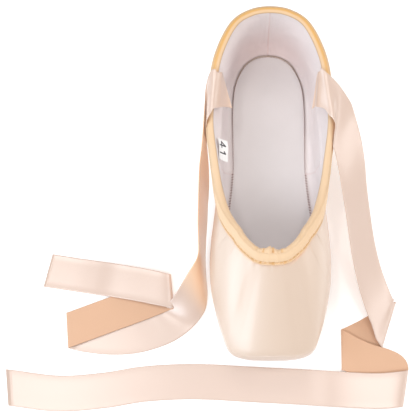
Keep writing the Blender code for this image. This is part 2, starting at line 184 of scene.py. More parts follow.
def wave_scale(pitch):
    """Scale of a wave pattern whose stripes repeat at a pitch in metres."""
    return 2 * pi / 20 / pitch


def weave_height(tree, flat, weave, pitch):
    """Height pattern of a weave that is plain, satin or nap."""
    link = tree.links.new
    if weave == "plain":
        height = add(tree, "ShaderNodeMath", operation="ADD")
        for k, direction in enumerate(("X", "Y")):
            wave = add(tree, "ShaderNodeTexWave", bands_direction=direction)
            wave.inputs["Scale"].default_value = wave_scale(pitch)
            wave.inputs["Distortion"].default_value = 0.6
            link(flat.outputs["UV"], wave.inputs["Vector"])
            link(wave.outputs["Fac"], height.inputs[k])
        return height
    stretch = add(tree, "ShaderNodeMapping")
    long_way = 0.12 if weave == "satin" else 0.8
    stretch.inputs["Scale"].default_value = (1 / pitch, long_way / pitch, 1.0)
    link(flat.outputs["UV"], stretch.inputs["Vector"])
    height = add(tree, "ShaderNodeTexNoise")
    height.inputs["Scale"].default_value = 1.0
    height.inputs["Detail"].default_value = 2.0
    link(stretch.outputs["Vector"], height.inputs["Vector"])
    return height


print("wave scale of threads 0.45 mm apart:", round(wave_scale(0.45 * MM)))

# %% [markdown]
# All pieces but the stitches carry a number called shade, from 0 in open places to 1
# in folds, and the finish turns warmer and deeper with it. On the cloth this is painted
# shade and painted warm bounce light, and on the lining also its darker seams; on the
# label it is the ink of the number, and on the sole a burnished edge. Broad, faint clouds
# keep the colour from looking printed. The satin of the shoe and of the ribbons has a
# thin clear coat too. Gloss alone would give thin hard lights, and the coat gives broad
# soft ones.

# %% A helper that makes a cloth or leather finish
COAT_IOR = 2.1
SHEEN_ROUGHNESS = 0.35
CLOUD_SCALE = 45.0
CLOUD_RELIEF = 0.0004
CLOUD_STRENGTH = 0.35
THREAD_STRENGTH = 0.5


def cloth(name, open_colour, deep_colour, roughness, weave, pitch, relief, sheen=0.0,
          gloss=0.5, coat=0.0, coat_rough=0.36, mottle=0.06):
    """Finish with a colour for open places, a deeper one mixed in by the shade number, mostly
    as painted shade in folds, and a weave.
    """
    material = bpy.data.materials.new(name)
    material.use_nodes = True
    tree = material.node_tree
    shader = tree.nodes["Principled BSDF"]
    shader.inputs["Roughness"].default_value = roughness
    shader.inputs["Specular IOR Level"].default_value = gloss
    shader.inputs["Sheen Weight"].default_value = sheen
    shader.inputs["Sheen Roughness"].default_value = SHEEN_ROUGHNESS
    shader.inputs["Coat Weight"].default_value = coat
    shader.inputs["Coat Roughness"].default_value = coat_rough
    shader.inputs["Coat IOR"].default_value = COAT_IOR
    link = tree.links.new

    flat = add(tree, "ShaderNodeTexCoord")
    # the shade number mixes in the deeper colour: painted shade and painted warm bounce light
    # on most cloth
    shade = add(tree, "ShaderNodeAttribute", attribute_name="shade")
    tone = add(tree, "ShaderNodeMix", data_type="RGBA")
    tone.inputs["A"].default_value = (*open_colour, 1.0)
    tone.inputs["B"].default_value = (*deep_colour, 1.0)
    link(shade.outputs["Fac"], tone.inputs["Factor"])
    cloud = add(tree, "ShaderNodeTexNoise")
    cloud.inputs["Scale"].default_value = CLOUD_SCALE
    cloud.inputs["Detail"].default_value = 4.0
    link(flat.outputs["Object"], cloud.inputs["Vector"])
    level = add(tree, "ShaderNodeMapRange")
    level.inputs["To Min"].default_value = 1.0 - mottle
    level.inputs["To Max"].default_value = 1.0 + mottle * 0.4
    link(cloud.outputs["Fac"], level.inputs["Value"])
    mottled = add(tree, "ShaderNodeMix", data_type="RGBA", blend_type="MULTIPLY")
    mottled.inputs["Factor"].default_value = 1.0
    link(tone.outputs["Result"], mottled.inputs["A"])
    link(level.outputs["Result"], mottled.inputs["B"])
    link(mottled.outputs["Result"], shader.inputs["Base Color"])

    height = weave_height(tree, flat, weave, pitch)
    fine = add(tree, "ShaderNodeBump")
    fine.inputs["Strength"].default_value = THREAD_STRENGTH
    fine.inputs["Distance"].default_value = relief
    link(height.outputs[0], fine.inputs["Height"])
    broad = add(tree, "ShaderNodeBump")
    broad.inputs["Strength"].default_value = CLOUD_STRENGTH
    broad.inputs["Distance"].default_value = CLOUD_RELIEF
    link(cloud.outputs["Fac"], broad.inputs["Height"])
    link(fine.outputs["Normal"], broad.inputs["Normal"])
    link(broad.outputs["Normal"], shader.inputs["Normal"])
    return material


# %% [markdown]
# ## The finishes of this shoe
# Peach satin for the outside, a more golden bias strip round the collar, a greyish
# pink cotton inside, split leather below and ribbon satin that is glossy on its face
# and duller on its back, where its browner colour is painted shade.

# %% Mix the finishes
peach_satin = cloth("peach_satin", (0.640, 0.480, 0.368), (0.90, 0.52, 0.30), 0.45,
                    "satin", 0.00022, 0.00003, sheen=0.35, gloss=0.70, coat=1.0,
                    coat_rough=0.44, mottle=0.03)
casing_satin = cloth("casing_satin", (0.740, 0.525, 0.335), (0.70, 0.37, 0.09), 0.48,
                     "satin", 0.00025, 0.00004, sheen=0.2, gloss=0.4, mottle=0.05)
lining_cloth = cloth("lining_cloth", (0.880, 0.805, 0.795), (0.76, 0.50, 0.46), 0.85,
                     "plain", 0.00045, 0.00005, sheen=0.1, gloss=0.2)
insole_cloth = cloth("insole_cloth", (0.700, 0.652, 0.645), (0.46, 0.29, 0.26), 0.85,
                     "plain", 0.00045, 0.00005, sheen=0.1, gloss=0.2)
ribbon_satin = cloth("ribbon_satin", (0.630, 0.462, 0.376), (1.00, 0.67, 0.43), 0.36,
                     "satin", 0.00020, 0.00002, sheen=0.20, gloss=0.70, coat=0.8,
                     coat_rough=0.30, mottle=0.02)
# the back is duller of itself; its browner colour is painted shade
ribbon_back_shaded = cloth("ribbon_back_shaded", (0.650, 0.400, 0.262), (0.95, 0.60, 0.38), 0.60,
                    "satin", 0.00024, 0.00003, gloss=0.3, mottle=0.04)
sole_leather = cloth("sole_leather", (0.60, 0.43, 0.31), (0.36, 0.24, 0.16), 0.72,
                     "nap", 0.00050, 0.00015, gloss=0.3, mottle=0.20)
thread_plain = cloth("thread_plain", (0.90, 0.68, 0.48), (0.80, 0.55, 0.36), 0.6,
                     "satin", 0.0002, 0.00002)
thread_brown = cloth("thread_brown", (0.36, 0.25, 0.23), (0.30, 0.20, 0.18), 0.75,
                     "satin", 0.0002, 0.00002)
label_cloth = cloth("label_cloth", (0.92, 0.91, 0.90), (0.05, 0.05, 0.06), 0.7,
                    "plain", 0.00030, 0.00003)
print("finishes:", len(bpy.data.materials))

# %% [markdown]
# ## The ribbons
# The ribbons are loose, so they come before the shoe itself. Each one is sewn inside
# the quarter, goes over the collar and lies on the floor with the twists and flat
# folds of the picture. Cloth could be dropped by simulation, but it never falls the
# same way twice, so these follow a drawn route. A row of it gives the middle of the
# ribbon in millimetres, the heading of the line across it and how steeply it rises.

# %% Routes of the two ribbons
RIBBON_WIDTH = 0.0228
RIBBON_THICKNESS = 0.0005
RIGHT_ROUTE = (
    (32.2, 61.6, 42.5, 92, 20), (32.5, 60.6, 47.4, 92, 18), (32.0, 58.8, 52.0, 93, 15),
    (35.0, 56.5, 55.3, 99, 11), (38.0, 53.0, 56.1, 99, 11), (41.0, 49.5, 54.2, 94, 10),
    (44.1, 43.6, 49.8, 80, 8), (48.1, 33.0, 45.2, 62, 2), (51.4, 22.5, 40.2, 50, -8),
    (54.0, 10.2, 35.5, 40, -19), (55.9, -4.5, 30.5, 33, -28), (57.8, -17.4, 26.5, 26, -33),
    (59.8, -30.7, 22.5, 20, -35), (62.2, -44.4, 18.5, 16, -34), (66.0, -58.8, 13.5, 18, -30),
    (70.7, -72.0, 8.2, 32, -20), (75.0, -82.0, 4.6, 56, -8), (77.4, -88.1, 3.0, 71, 0),
    (78.8, -88.8, 1.7, 71, 0), (77.4, -88.6, 0.5, 71, 0), (63.0, -96.9, 0.5, 79, 0),
    (50.4, -103.8, 0.5, 88, 0), (47.0, -105.2, 1.6, 89, 0), (50.4, -106.8, 2.7, 88, 0),
    (67.5, -117.0, 1.9, 85, 0), (84.0, -127.6, 0.5, 80, 0), (87.6, -130.0, 2.0, 79, 0),
    (84.0, -131.0, 3.6, 80, 0), (68.2, -132.1, 3.8, 87, 0), (42.4, -130.9, 3.4, 89, 0),
    (19.6, -129.3, 1.2, 89, 0), (-14.4, -127.5, 0.5, 90, 0), (-37.9, -126.1, 0.5, 91, 0),
    (-59.2, -125.9, 0.5, 89, 0), (-84.0, -127.5, 0.5, 86, 0), (-109.0, -131.4, 0.5, 82, 0),
    (-138.8, -133.4, 0.5, 89, 0), (-172.1, -129.5, 0.5, 98, 0),
)
LEFT_ROUTE = (
    (-32.0, 62.6, 41.0, 90, 30), (-32.0, 61.2, 45.4, 89, 28), (-32.2, 59.4, 50.2, 88, 24),
    (-33.6, 57.2, 54.8, 85, 15), (-37.4, 55.4, 57.2, 84, 12), (-40.6, 52.4, 54.6, 86, 16),
    (-42.2, 45.8, 48.8, 89, 27), (-42.6, 36.8, 42.0, 92, 38), (-42.7, 26.4, 35.4, 97, 48),
    (-43.2, 14.5, 28.6, 103, 56), (-44.4, 0.5, 23.2, 110, 62), (-45.0, -15.5, 18.8, 115, 65),
    (-45.5, -29.5, 16.0, 115, 67), (-45.4, -40.5, 14.2, 113, 68), (-45.2, -50.5, 13.2, 115, 66),
    (-46.4, -60.0, 11.6, 122, 54), (-49.8, -69.0, 8.6, 130, 36), (-55.0, -77.0, 4.4, 136, 16),
    (-62.0, -84.2, 1.0, 138, 2), (-72.6, -90.8, 0.5, 128, 0), (-89.0, -95.8, 0.5, 108, 0),
    (-106.0, -96.8, 0.5, 95, 0), (-122.0, -95.0, 0.5, 92, 0), (-131.0, -93.2, 0.5, 94, 0),
    (-134.4, -92.2, 1.6, 96, 0), (-131.0, -91.2, 2.7, 96, 0), (-110.0, -83.2, 2.0, 100, 0),
    (-88.0, -75.0, 1.7, 106, 0), (-77.0, -70.6, 1.7, 104, 0), (-69.4, -67.6, 1.7, 98, 0),
    (-65.6, -66.4, 2.8, 96, 0), (-69.4, -65.6, 3.9, 94, 0), (-84.0, -62.4, 3.5, 86, 0),
    (-104.0, -58.8, 2.8, 81, 0), (-118.0, -56.4, 1.3, 81, 0), (-132.0, -54.2, 0.5, 81, 0),
    (-150.0, -51.4, 0.5, 78, 0),
)
print("rows in the routes:", len(RIGHT_ROUTE), len(LEFT_ROUTE))

# %% [markdown]
# The rows are only some places along a ribbon. A smooth curve runs through them, and
# the heading and the rise change along it as smoothly as the place does.

# %% A helper that draws the line of a ribbon
def through(p0, p1, p2, p3, t):
    """Smooth curve through p1 and p2, steered by their neighbours."""
    straight = 2 * p1 + (p2 - p0) * t
    bent = (2 * p0 - 5 * p1 + 4 * p2 - p3) * t * t
    turned = (3 * p1 - p0 - 3 * p2 + p3) * t * t * t
    return 0.5 * (straight + bent + turned)


def ribbon_line(route, steps):
    """Middles and cross lines read off a smooth curve through a route's rows."""
    rows = np.array(route, float)
    first = 2 * rows[0] - rows[1]
    last = 2 * rows[-1] - rows[-2]
    rows = np.vstack([first, rows, last])
    samples = []
    for k in range(1, len(rows) - 2):
        for t in np.arange(steps) / steps:
            samples.append(through(rows[k - 1], rows[k], rows[k + 1], rows[k + 2], t))
    samples = np.array(samples + [rows[-2]])
    heading = np.radians(samples[:, 3])
    rise = np.radians(samples[:, 4])
    across = np.stack([
        np.cos(heading) * np.cos(rise), np.sin(heading) * np.cos(rise), np.sin(rise)], -1)
    return samples[:, :3] * MM, across


RIBBON_STEPS = 8
print("places along the right ribbon:", len(ribbon_line(RIGHT_ROUTE, RIBBON_STEPS)[0]))

# %% [markdown]
# A ribbon is a flat loop of points carried along its route. They lie closest at the
# two woven edges, which stand a little thicker. Where the ribbon turns on the bias its
# cross line is longer than its width, as on a real strip of cloth. Its sewn end leans
# into the shoe on the toe side, and one fold of the right ribbon turns softly.

# %% How the ribbons lie
FLAT_FOLDS = {
    "ribbon_right": ((16.4, 19.6), (20.4, 23.6), (24.4, 27.6)),
    "ribbon_left": ((22.4, 25.6), (28.4, 31.6)),
}
TURNED_OVER = {"ribbon_right": 22.0, "ribbon_left": 99.0}
GLOSSY_BELOW = {"ribbon_right": False, "ribbon_left": True}
ACROSS = np.array([-1.0, -0.97, -0.93, -0.6, -0.2, 0.2, 0.6, 0.93, 0.97, 1.0])
EDGE_BEAD = np.array([0.5, 1.25, 1.0, 1.0, 1.0, 1.0, 1.0, 1.0, 1.25, 0.5])
MOST_OBLIQUE = 0.71
TAB_LEAN = {"ribbon_right": 0.0042, "ribbon_left": 0.0065}
TAB_LENGTH = 0.010
SOFT_TURN = np.array([0.0015, 0.0055, 0.0008])
SOFT_TURN_ROW = 24.8
LOWEST = 0.0001
# rows of the left ribbon that get a painted warm shade
SHADED_ROWS = (6.5, 17.0)
print("flat folds:", {name: len(fold_shade) for name, fold_shade in FLAT_FOLDS.items()})

# %% [markdown]
# Three small tools come back all through the shoe: a vector made one long, an ease
# from 0 to 1, and a soft bump. Creases, gathers and tints are all made of them.

# %% Unit vectors, eases and bumps
def unit(vectors):
    """Vectors of length one."""
    size = np.linalg.norm(vectors, axis=-1, keepdims=True)
    return vectors / np.maximum(size, 1e-12)


def smooth(share):
    """Ease from 0 to 1 without a kink at either end."""
    return 0.5 - 0.5 * np.cos(pi * np.clip(share, 0.0, 1.0))


def bump(distance, width):
    """Soft bump of height one."""
    return np.exp(-((distance / width) ** 2))


print("halfway up the ease:", round(float(smooth(0.5)), 2))
print("one width from the top of a bump:", round(float(bump(1.0, 1.0)), 2))

# %% [markdown]
# Across a flat fold the width changes evenly, so its edges stay straight. The right
# ribbon hides a half twist in its second fold, so its dull back shows on both sides of
# that fold, as in the picture. The sewn ends get a painted warm shade, and so does the
# stretch of the left ribbon that hangs in shade beside the shoe.

# %% Weave the ribbons
def weave_ribbon(name, node, route):
    """One ribbon with a glossy face and a dull back that is browner by painted shade."""
    middle, across = ribbon_line(route, RIBBON_STEPS)
    forward = unit(np.gradient(middle, axis=0))
    facing = np.cross(forward, across)
    spread = np.maximum(np.linalg.norm(facing, axis=1), MOST_OBLIQUE)
    half = RIBBON_WIDTH / 2 / spread
    row = np.arange(len(middle)) / RIBBON_STEPS
    for start, end in FLAT_FOLDS[node]:
        inside = (row > start) & (row < end)
        half[inside] = np.interp(row[inside], [start, end], np.interp([start, end], row, half))
    facing = unit(facing)
    thick = RIBBON_THICKNESS / 2 * EDGE_BEAD
    base = middle[:, None] + across[:, None] * (half[:, None] * ACROSS)[..., None]
    low = base - facing[:, None] * thick[None, :, None]
    high = base + facing[:, None] * thick[None, :, None]
    rings = np.concatenate([low, high[:, ::-1]], axis=1)
    sewn = running(middle)
    toe_side = np.concatenate([1 - ACROSS, (1 - ACROSS)[::-1]])[None, :] / 2
    leans = TAB_LEAN[node] * toe_side * bump(sewn, TAB_LENGTH)[:, None]
    rings[..., 0] -= np.sign(middle[:1, :1]) * leans
    if node == "ribbon_right":
        rings += SOFT_TURN * bump(row - SOFT_TURN_ROW, 0.8)[:, None, None]
    rings[..., 2] = np.maximum(rings[..., 2], LOWEST)
    # painted warm shade at the sewn ends and on the left ribbon's stretch that hangs beside the
    # shoe
    painted_warm_shade = 0.25 * bump(sewn, 0.016) + 0.75 * bump(sewn, 0.0045)
    if node == "ribbon_left":
        first, last = SHADED_ROWS
        painted_warm_shade += 0.9 * smooth((row - first) / 2.0) * smooth((last - row) / 2.0)
    shade = np.repeat(painted_warm_shade[:, None], rings.shape[1], axis=1)
    under = np.array([1] * (len(ACROSS) - 1) + [0] * (len(ACROSS) + 1))
    flipped = (row[:-1] > TURNED_OVER[node]) ^ GLOSSY_BELOW[node]
    dull = np.where(flipped[:, None], 1 - under[None, :], under[None, :])
    piece = loft(name, rings, closed_round=False, caps=True, shade=shade, second=dull)
    dress(piece, "ribbon_satin", ribbon_satin, ribbon_back_shaded, stands_for=[node])


weave_ribbon("right_ribbon", "ribbon_right", RIGHT_ROUTE)
weave_ribbon("left_ribbon", "ribbon_left", LEFT_ROUTE)

# %% [markdown]
# ## The last
# A shoe is made over a last, a wooden foot. It could be sculpted by eye, but a table
# keeps both sides alike and every layer on the same form. It has one row for each
# section, from the middle of the platform at the toe to the middle of the heel. The
# same table cut the solids, so the dressed pieces fit them.

# %% Sizes of the last
LENGTH = 0.228
BALL_WIDTH = 0.081
COLLAR_WIDTH = 0.0796
INSTEP_HEIGHT = 0.0540
SIDE_HEIGHT = 0.0425
HEEL_HEIGHT = 0.0590
VAMP_LENGTH = 0.0615
WAIST_PLACE = 0.111
SIDE_ROUND = 0.0070
WALL = 0.0016
GAP = 0.0005
SOLE_THICKNESS = 0.0030
LASTING_MARGIN = 0.0075
ARCH_LIFT = 0.0022
TOE_SPRING = 0.0018
INSOLE_THICKNESS = 0.0016
TOE_Y = -LENGTH / 2
THROAT_Y = TOE_Y + VAMP_LENGTH
WAIST_Y = TOE_Y + WAIST_PLACE
HEEL_Y = LENGTH / 2
SPINE_FRONT = TOE_Y + 0.20 * LENGTH
SPINE_REAR = HEEL_Y - 0.17 * LENGTH
HALF_BALL = BALL_WIDTH / 2
HALF_COLLAR = COLLAR_WIDTH / 2
TREAD_FLAT = (0.14, 0.34)
HEEL_FLAT = 0.76
print("shoe in mm:", round(LENGTH / MM), "long,", round(BALL_WIDTH / MM), "wide")

# %% [markdown]
# Nearly every number of the table is a share of one of those sizes, and two say how
# far a corner is rounded. So a longer last needs only another length.

# %% The table of sections
COLUMNS = (
    "sole_y", "sole_x", "wide_y", "wide_x", "wide_z",
    "low_in", "low_z", "low_round", "high_in", "high_z", "high_round",
    "top_y", "top_x",
)
SECTIONS = np.array((
    (0.068, 0.000, 0.000, 0.000, 0.35, 0.010, 0.120, 0.30, 0.020, 0.590, 0.12, 0.000, 0.000),
    (0.070, 0.200, 0.001, 0.345, 0.35, 0.020, 0.120, 0.30, 0.025, 0.570, 0.14, 0.001, 0.085),
    (0.081, 0.370, 0.008, 0.570, 0.35, 0.040, 0.130, 0.35, 0.045, 0.525, 0.24, 0.004, 0.165),
    (0.101, 0.482, 0.024, 0.696, 0.35, 0.050, 0.120, 0.50, 0.045, 0.520, 0.46, 0.012, 0.240),
    (0.127, 0.551, 0.061, 0.780, 0.35, 0.050, 0.085, 0.55, 0.045, 0.580, 0.70, 0.027, 0.315),
    (0.162, 0.617, 0.120, 0.879, 0.35, 0.040, 0.065, 0.55, 0.050, 0.650, 0.90, 0.048, 0.402),
    (0.219, 0.662, 0.199, 0.970, 0.36, 0.030, 0.061, 0.55, 0.075, 0.705, 1.00, 0.078, 0.490),
    (0.281, 0.667, 0.281, 1.000, 0.37, 0.030, 0.061, 0.55, 0.100, 0.725, 1.00, 0.126, 0.616),
    (0.364, 0.605, 0.364, 0.970, 0.39, 0.030, 0.061, 0.52, 0.085, 0.705, 1.00, 0.186, 0.741),
    (0.461, 0.481, 0.465, 0.904, 0.43, 0.040, 0.061, 0.50, 0.035, 0.640, 1.00, 0.285, 0.859),
    (0.566, 0.420, 0.566, 0.864, 0.46, 0.050, 0.061, 0.50, -0.025, 0.640, 1.00, 0.405, 0.935),
    (0.667, 0.457, 0.667, 0.859, 0.48, 0.050, 0.061, 0.50, -0.070, 0.680, 1.00, 0.544, 1.000),
    (0.772, 0.526, 0.772, 0.835, 0.48, 0.050, 0.061, 0.50, -0.070, 0.720, 1.00, 0.677, 0.955),
    (0.860, 0.551, 0.868, 0.765, 0.46, 0.050, 0.061, 0.55, -0.060, 0.780, 1.00, 0.808, 0.850),
    (0.928, 0.432, 0.947, 0.568, 0.44, 0.050, 0.061, 0.68, -0.030, 0.780, 1.00, 0.929, 0.610),
    (0.956, 0.235, 0.990, 0.296, 0.43, 0.050, 0.061, 0.74, -0.005, 0.780, 1.00, 0.980, 0.320),
    (0.965, 0.000, 1.000, 0.000, 0.43, 0.050, 0.061, 0.76, 0.005, 0.780, 1.00, 0.994, 0.000),
))
LAST_SECTION = len(SECTIONS) - 1
SIDEWAYS = [COLUMNS.index(name) for name in ("sole_x", "wide_x", "top_x")]


def section_row(index):
    """A table row, mirrored past the toe and the heel."""
    turned = index < 0 or index > LAST_SECTION
    index = abs(index)
    if index > LAST_SECTION:
        index = 2 * LAST_SECTION - index
    row = SECTIONS[index].copy()
    if turned:
        row[SIDEWAYS] *= -1
    return row


def section_at(u):
    """Shares of the section at u, which counts rows from the toe to the heel."""
    base = min(int(u), LAST_SECTION - 1)
    rows = [section_row(base + k) for k in (-1, 0, 1, 2)]
    return dict(zip(COLUMNS, through(*rows, u - base)))


print("sections:", len(SECTIONS))

# %% [markdown]
# ## From a row to a profile
# Each row gives five corners: the foot under the sole, a low corner, the widest
# place, a high corner and the collar. The foot stands on the tread and the collar on
# the rim, so their heights along the shoe come first.

# %% Heights of the tread and the rim
def lift(y):
    """Height of the tread above the floor: flat at ball and heel, raised between."""
    share = (np.asarray(y, float) - TOE_Y) / LENGTH
    toe = TOE_SPRING * smooth((TREAD_FLAT[0] - share) / TREAD_FLAT[0])
    span = np.clip((share - TREAD_FLAT[1]) / (HEEL_FLAT - TREAD_FLAT[1]), 0.0, 1.0)
    return toe + ARCH_LIFT * np.sin(pi * span) ** 2


def rim_height(y):
    """Height of the collar: high at the throat, lowest at the waist, highest behind."""
    if y < WAIST_Y:
        share = smooth((y - THROAT_Y) / (WAIST_Y - THROAT_Y))
        return INSTEP_HEIGHT + (SIDE_HEIGHT - INSTEP_HEIGHT) * share
    share = smooth((y - WAIST_Y) / (HEEL_Y - WAIST_Y))
    return SIDE_HEIGHT + (HEEL_HEIGHT - SIDE_HEIGHT) * share


print("rim at throat, waist and heel in mm:",
      [round(rim_height(y) / MM, 1) for y in (THROAT_Y, WAIST_Y, HEEL_Y)])

# %% [markdown]
# Rounding the corners makes the profile of the wall. Moving a point level towards the
# middle line of the shoe draws a corner in, the same at the toe as at the side.

# %% Profiles of the wall
def spine_under(points):
    """Nearest points of the shoe's middle line, at the same heights."""
    spine = np.array(points, float)
    spine[..., 0] = 0.0
    spine[..., 1] = np.clip(spine[..., 1], SPINE_FRONT, SPINE_REAR)
    return spine


def inset(points, distance):
    """Points moved level towards the shoe's middle line."""
    return points + unit(spine_under(points) - points) * distance


def rounded(start, corner, end, share, steps=28):
    """Polyline from start to end that rounds the corner between them."""
    first = corner + (start - corner) * share
    last = corner + (end - corner) * share
    t = np.linspace(0.0, 1.0, steps + 1)[:, None]
    bend = first * (1 - t) ** 2 + 2 * corner * t * (1 - t) + last * t * t
    points = np.vstack([start, bend, end])
    apart = np.linalg.norm(np.diff(points, axis=0), axis=1) > 1e-9
    return points[np.append(True, apart)]


def at(points, distances):
    """Points at distances along a polyline."""
    total = running(points)
    return np.stack([np.interp(distances, total, points[:, k]) for k in range(3)], -1)


def eased(below, above, wide):
    """Both parts of a profile, rounded into each other at the widest point."""
    up_to = running(below)
    start = at(below, up_to[-1] - SIDE_ROUND)
    end = at(above, SIDE_ROUND)
    bend = rounded(start, wide, end, 1.0)
    half = len(bend) // 2
    under = below[up_to < up_to[-1] - SIDE_ROUND]
    over = above[running(above) > SIDE_ROUND]
    return np.vstack([under, bend[:half + 1]]), np.vstack([bend[half:], over])


def profile(u):
    """Lower and upper part of the wall's outside in the section at u."""
    row = section_at(u)
    sole = np.array([row["sole_x"] * HALF_BALL, TOE_Y + row["sole_y"] * LENGTH, 0.0])
    foot = inset(sole, LASTING_MARGIN)
    foot[2] = SOLE_THICKNESS + GAP + lift(foot[1])
    wide = np.array([row["wide_x"] * HALF_BALL, TOE_Y + row["wide_y"] * LENGTH, 0.0])
    low = inset(wide, row["low_in"] * HALF_BALL)
    low[2] = row["low_z"] * INSTEP_HEIGHT + lift(low[1])
    high = inset(wide, row["high_in"] * HALF_BALL)
    high[2] = row["high_z"] * INSTEP_HEIGHT
    wide[2] = row["wide_z"] * INSTEP_HEIGHT
    top_y = THROAT_Y + (HEEL_Y - THROAT_Y) * row["top_y"]
    top = np.array([row["top_x"] * HALF_COLLAR, top_y, rim_height(top_y)])
    below = rounded(foot, low, wide, row["low_round"])
    above = rounded(wide, high, top, row["high_round"])
    return eased(below, above, wide)


print("collar at the heel in mm:", np.round(profile(LAST_SECTION)[1][-1] / MM, 1))

# %% [markdown]
# Points are set closer together where the profile bends most, so that a round corner
# stays round with few points.

# %% Spread points along a profile
BEND_WEIGHT = 0.006


def spread(points, count):
    """Distances along a polyline, closer together where it bends."""
    total = running(points)
    steps = np.diff(points, axis=0)
    ways = unit(steps)
    turn = np.zeros(len(points))
    turn[1:-1] = np.arccos(np.clip((ways[1:] * ways[:-1]).sum(1), -1, 1))
    measure = np.diff(total) + BEND_WEIGHT * (turn[1:] + turn[:-1]) / 2
    measure = np.concatenate([[0.0], np.cumsum(measure)])
    return np.interp(np.linspace(0, measure[-1], count), measure, total)


print("four places along a low profile in mm:", np.round(spread(profile(8)[0], 4) / MM, 1))

# %% [markdown]
# ## One skin for every layer
# The satin, the lining, the casing and the insole are all layers of one skin. It is
# worked out once as a grid: columns run round the shoe and rows run up the wall.
# Extra columns lie at the side seam and the back seam, where the relief is finest.

# %% Work out the skin
SIDE_SEAM = 10.0
BACK_SEAM = 16.0
ROWS_BELOW = 14
ROWS_ABOVE = 46
places = np.concatenate([
    np.linspace(0, LAST_SECTION, LAST_SECTION * 10 + 1),
    SIDE_SEAM + np.linspace(-0.12, 0.12, 13),
    BACK_SEAM - np.linspace(0.01, 0.30, 10),
])
places = np.unique(np.round(places, 4))


def half_skin(values, below_rows, above_rows):
    """Grid of the right half, and how far each point is below the collar."""
    grid = []
    drop = []
    for u in values:
        below, above = profile(u)
        low = at(below, spread(below, below_rows + 1)[:-1])
        lengths = spread(above, above_rows)
        high = at(above, lengths)
        total = running(np.vstack([low, high]))
        grid.append(np.vstack([low, high]))
        drop.append(total[-1] - total)
    return np.array(grid), np.array(drop)


def whole(half, sideways=True):
    """Right half and its mirror image as one closed ring of columns."""
    other = half[1:-1][::-1].copy()
    if sideways:
        other[..., 0] *= -1
    return np.concatenate([half, other])


def surface_normals(grid):
    """Outward normals of a closed grid."""
    around = np.roll(grid, -1, axis=0) - np.roll(grid, 1, axis=0)
    up = np.gradient(grid, axis=1)
    return unit(np.cross(around, up))


print("columns on half the shoe:", len(places))

# %% [markdown]
# The skin also carries, for every point, its section, its side, its distance along
# the collar and its distance below it. Creases and tints are placed by these.

# %% Measure the skin
half_grid, half_drop = half_skin(places, ROWS_BELOW, ROWS_ABOVE)
half_grid[0, :, 0] = 0.0
half_grid[-1, :, 0] = 0.0
skin = whole(half_grid)
drop = whole(half_drop, sideways=False)
normal = surface_normals(skin)
ring_u = whole(places[:, None], sideways=False)[:, 0]
side = np.ones(len(skin))
side[len(places):] = -1.0
collar_arc = running(half_grid[:, -1])
arc = whole(collar_arc[:, None], sideways=False)[:, 0]
print("points round and up:", skin.shape[:2], "half collar in mm:", round(collar_arc[-1] / MM))

# %% [markdown]
# ## Creases one by one
# Satin on a stiff box lies smooth, but it is drawn into pleats under the toe, pulled
# by the stitches below the casing, and slack over the quarters, where the foot bends
# it. Each crease is a soft trough between two places, given in the shoe's own sizes:
# the section, the distance below the collar, the trough's width and its depth. The
# pleats and puckers repeat, so waves make them, each faded out where it should end.

# %% Places of the creases
CREASES = (
    # side, section, drop, section, drop, width, depth
    (1, 8.6, 0.0300, 9.9, 0.0130, 0.0040, 0.0007),
    (1, 9.0, 0.0380, 9.9, 0.0250, 0.0035, 0.0006),
    (1, 10.2, 0.0140, 11.8, 0.0280, 0.0045, 0.0008),
    (1, 10.1, 0.0270, 11.2, 0.0400, 0.0040, 0.0006),
    (1, 12.2, 0.0120, 13.2, 0.0340, 0.0050, 0.0006),
    (-1, 8.4, 0.0280, 9.9, 0.0160, 0.0040, 0.0007),
    (-1, 9.2, 0.0400, 9.9, 0.0280, 0.0035, 0.0006),
    (-1, 10.2, 0.0120, 12.0, 0.0300, 0.0045, 0.0008),
    (-1, 10.1, 0.0300, 11.0, 0.0420, 0.0040, 0.0006),
    (-1, 12.4, 0.0140, 13.3, 0.0360, 0.0050, 0.0006),
    (1, 14.0, 0.0200, 15.4, 0.0330, 0.0050, 0.0005),
    (-1, 14.1, 0.0230, 15.4, 0.0300, 0.0050, 0.0005),
)
print("creases:", len(CREASES))


def trough(fall, around, which, crease):
    """Soft trough along a straight line on the wall."""
    hand, u0, drop0, u1, drop1, width, depth = crease
    start = np.array([np.interp(u0, places, collar_arc), drop0])
    end = np.array([np.interp(u1, places, collar_arc), drop1])
    way = end - start
    share = ((around - start[0]) * way[0] + (fall - start[1]) * way[1]) / (way @ way)
    held = np.clip(share, 0.0, 1.0)
    away = np.hypot(around - start[0] - held * way[0], fall - start[1] - held * way[1])
    return -depth * bump(away, width) * (which == hand)


# %% [markdown]
# The pleats are waves round the toe that live only on the lower part of the wall, so
# that the vamp above them stays smooth. All the relief is added up into one grid.

# %% Add up the relief
PLEAT_DEPTH = 0.0008
PLEAT_TOP = 0.70
below_share = np.clip(np.arange(ROWS_BELOW + ROWS_ABOVE) / ROWS_BELOW, 0, 1)[None, :]
u_grid = ring_u[:, None] + 0 * drop
arc_grid = arc[:, None] + 0 * drop
side_grid = side[:, None] + 0 * drop
toe_part = smooth((6.0 - u_grid) / 2.0)
folded = (0.5 - 0.5 * np.cos(2 * pi * (1.5 * u_grid + 0.12 * side_grid))) ** 2
uneven = 1.0 + 0.35 * np.sin(3.1 * u_grid + 1.7 * side_grid)
low_down = np.sin(pi * np.clip(below_share / PLEAT_TOP, 0.0, 1.0))
pleats = -2 * PLEAT_DEPTH * toe_part * folded * uneven * low_down

CASING_DEPTH = 0.0076
casing_foot = drop - CASING_DEPTH
puckers = 0.00008 * np.sin(2 * pi * arc_grid / 0.0043 + side_grid) * bump(arc_grid, 0.020)
puckers += 0.00005 * np.sin(2 * pi * arc_grid / 0.0071 + 2 * side_grid)
puckers *= bump(np.maximum(casing_foot, 0), 0.0035)

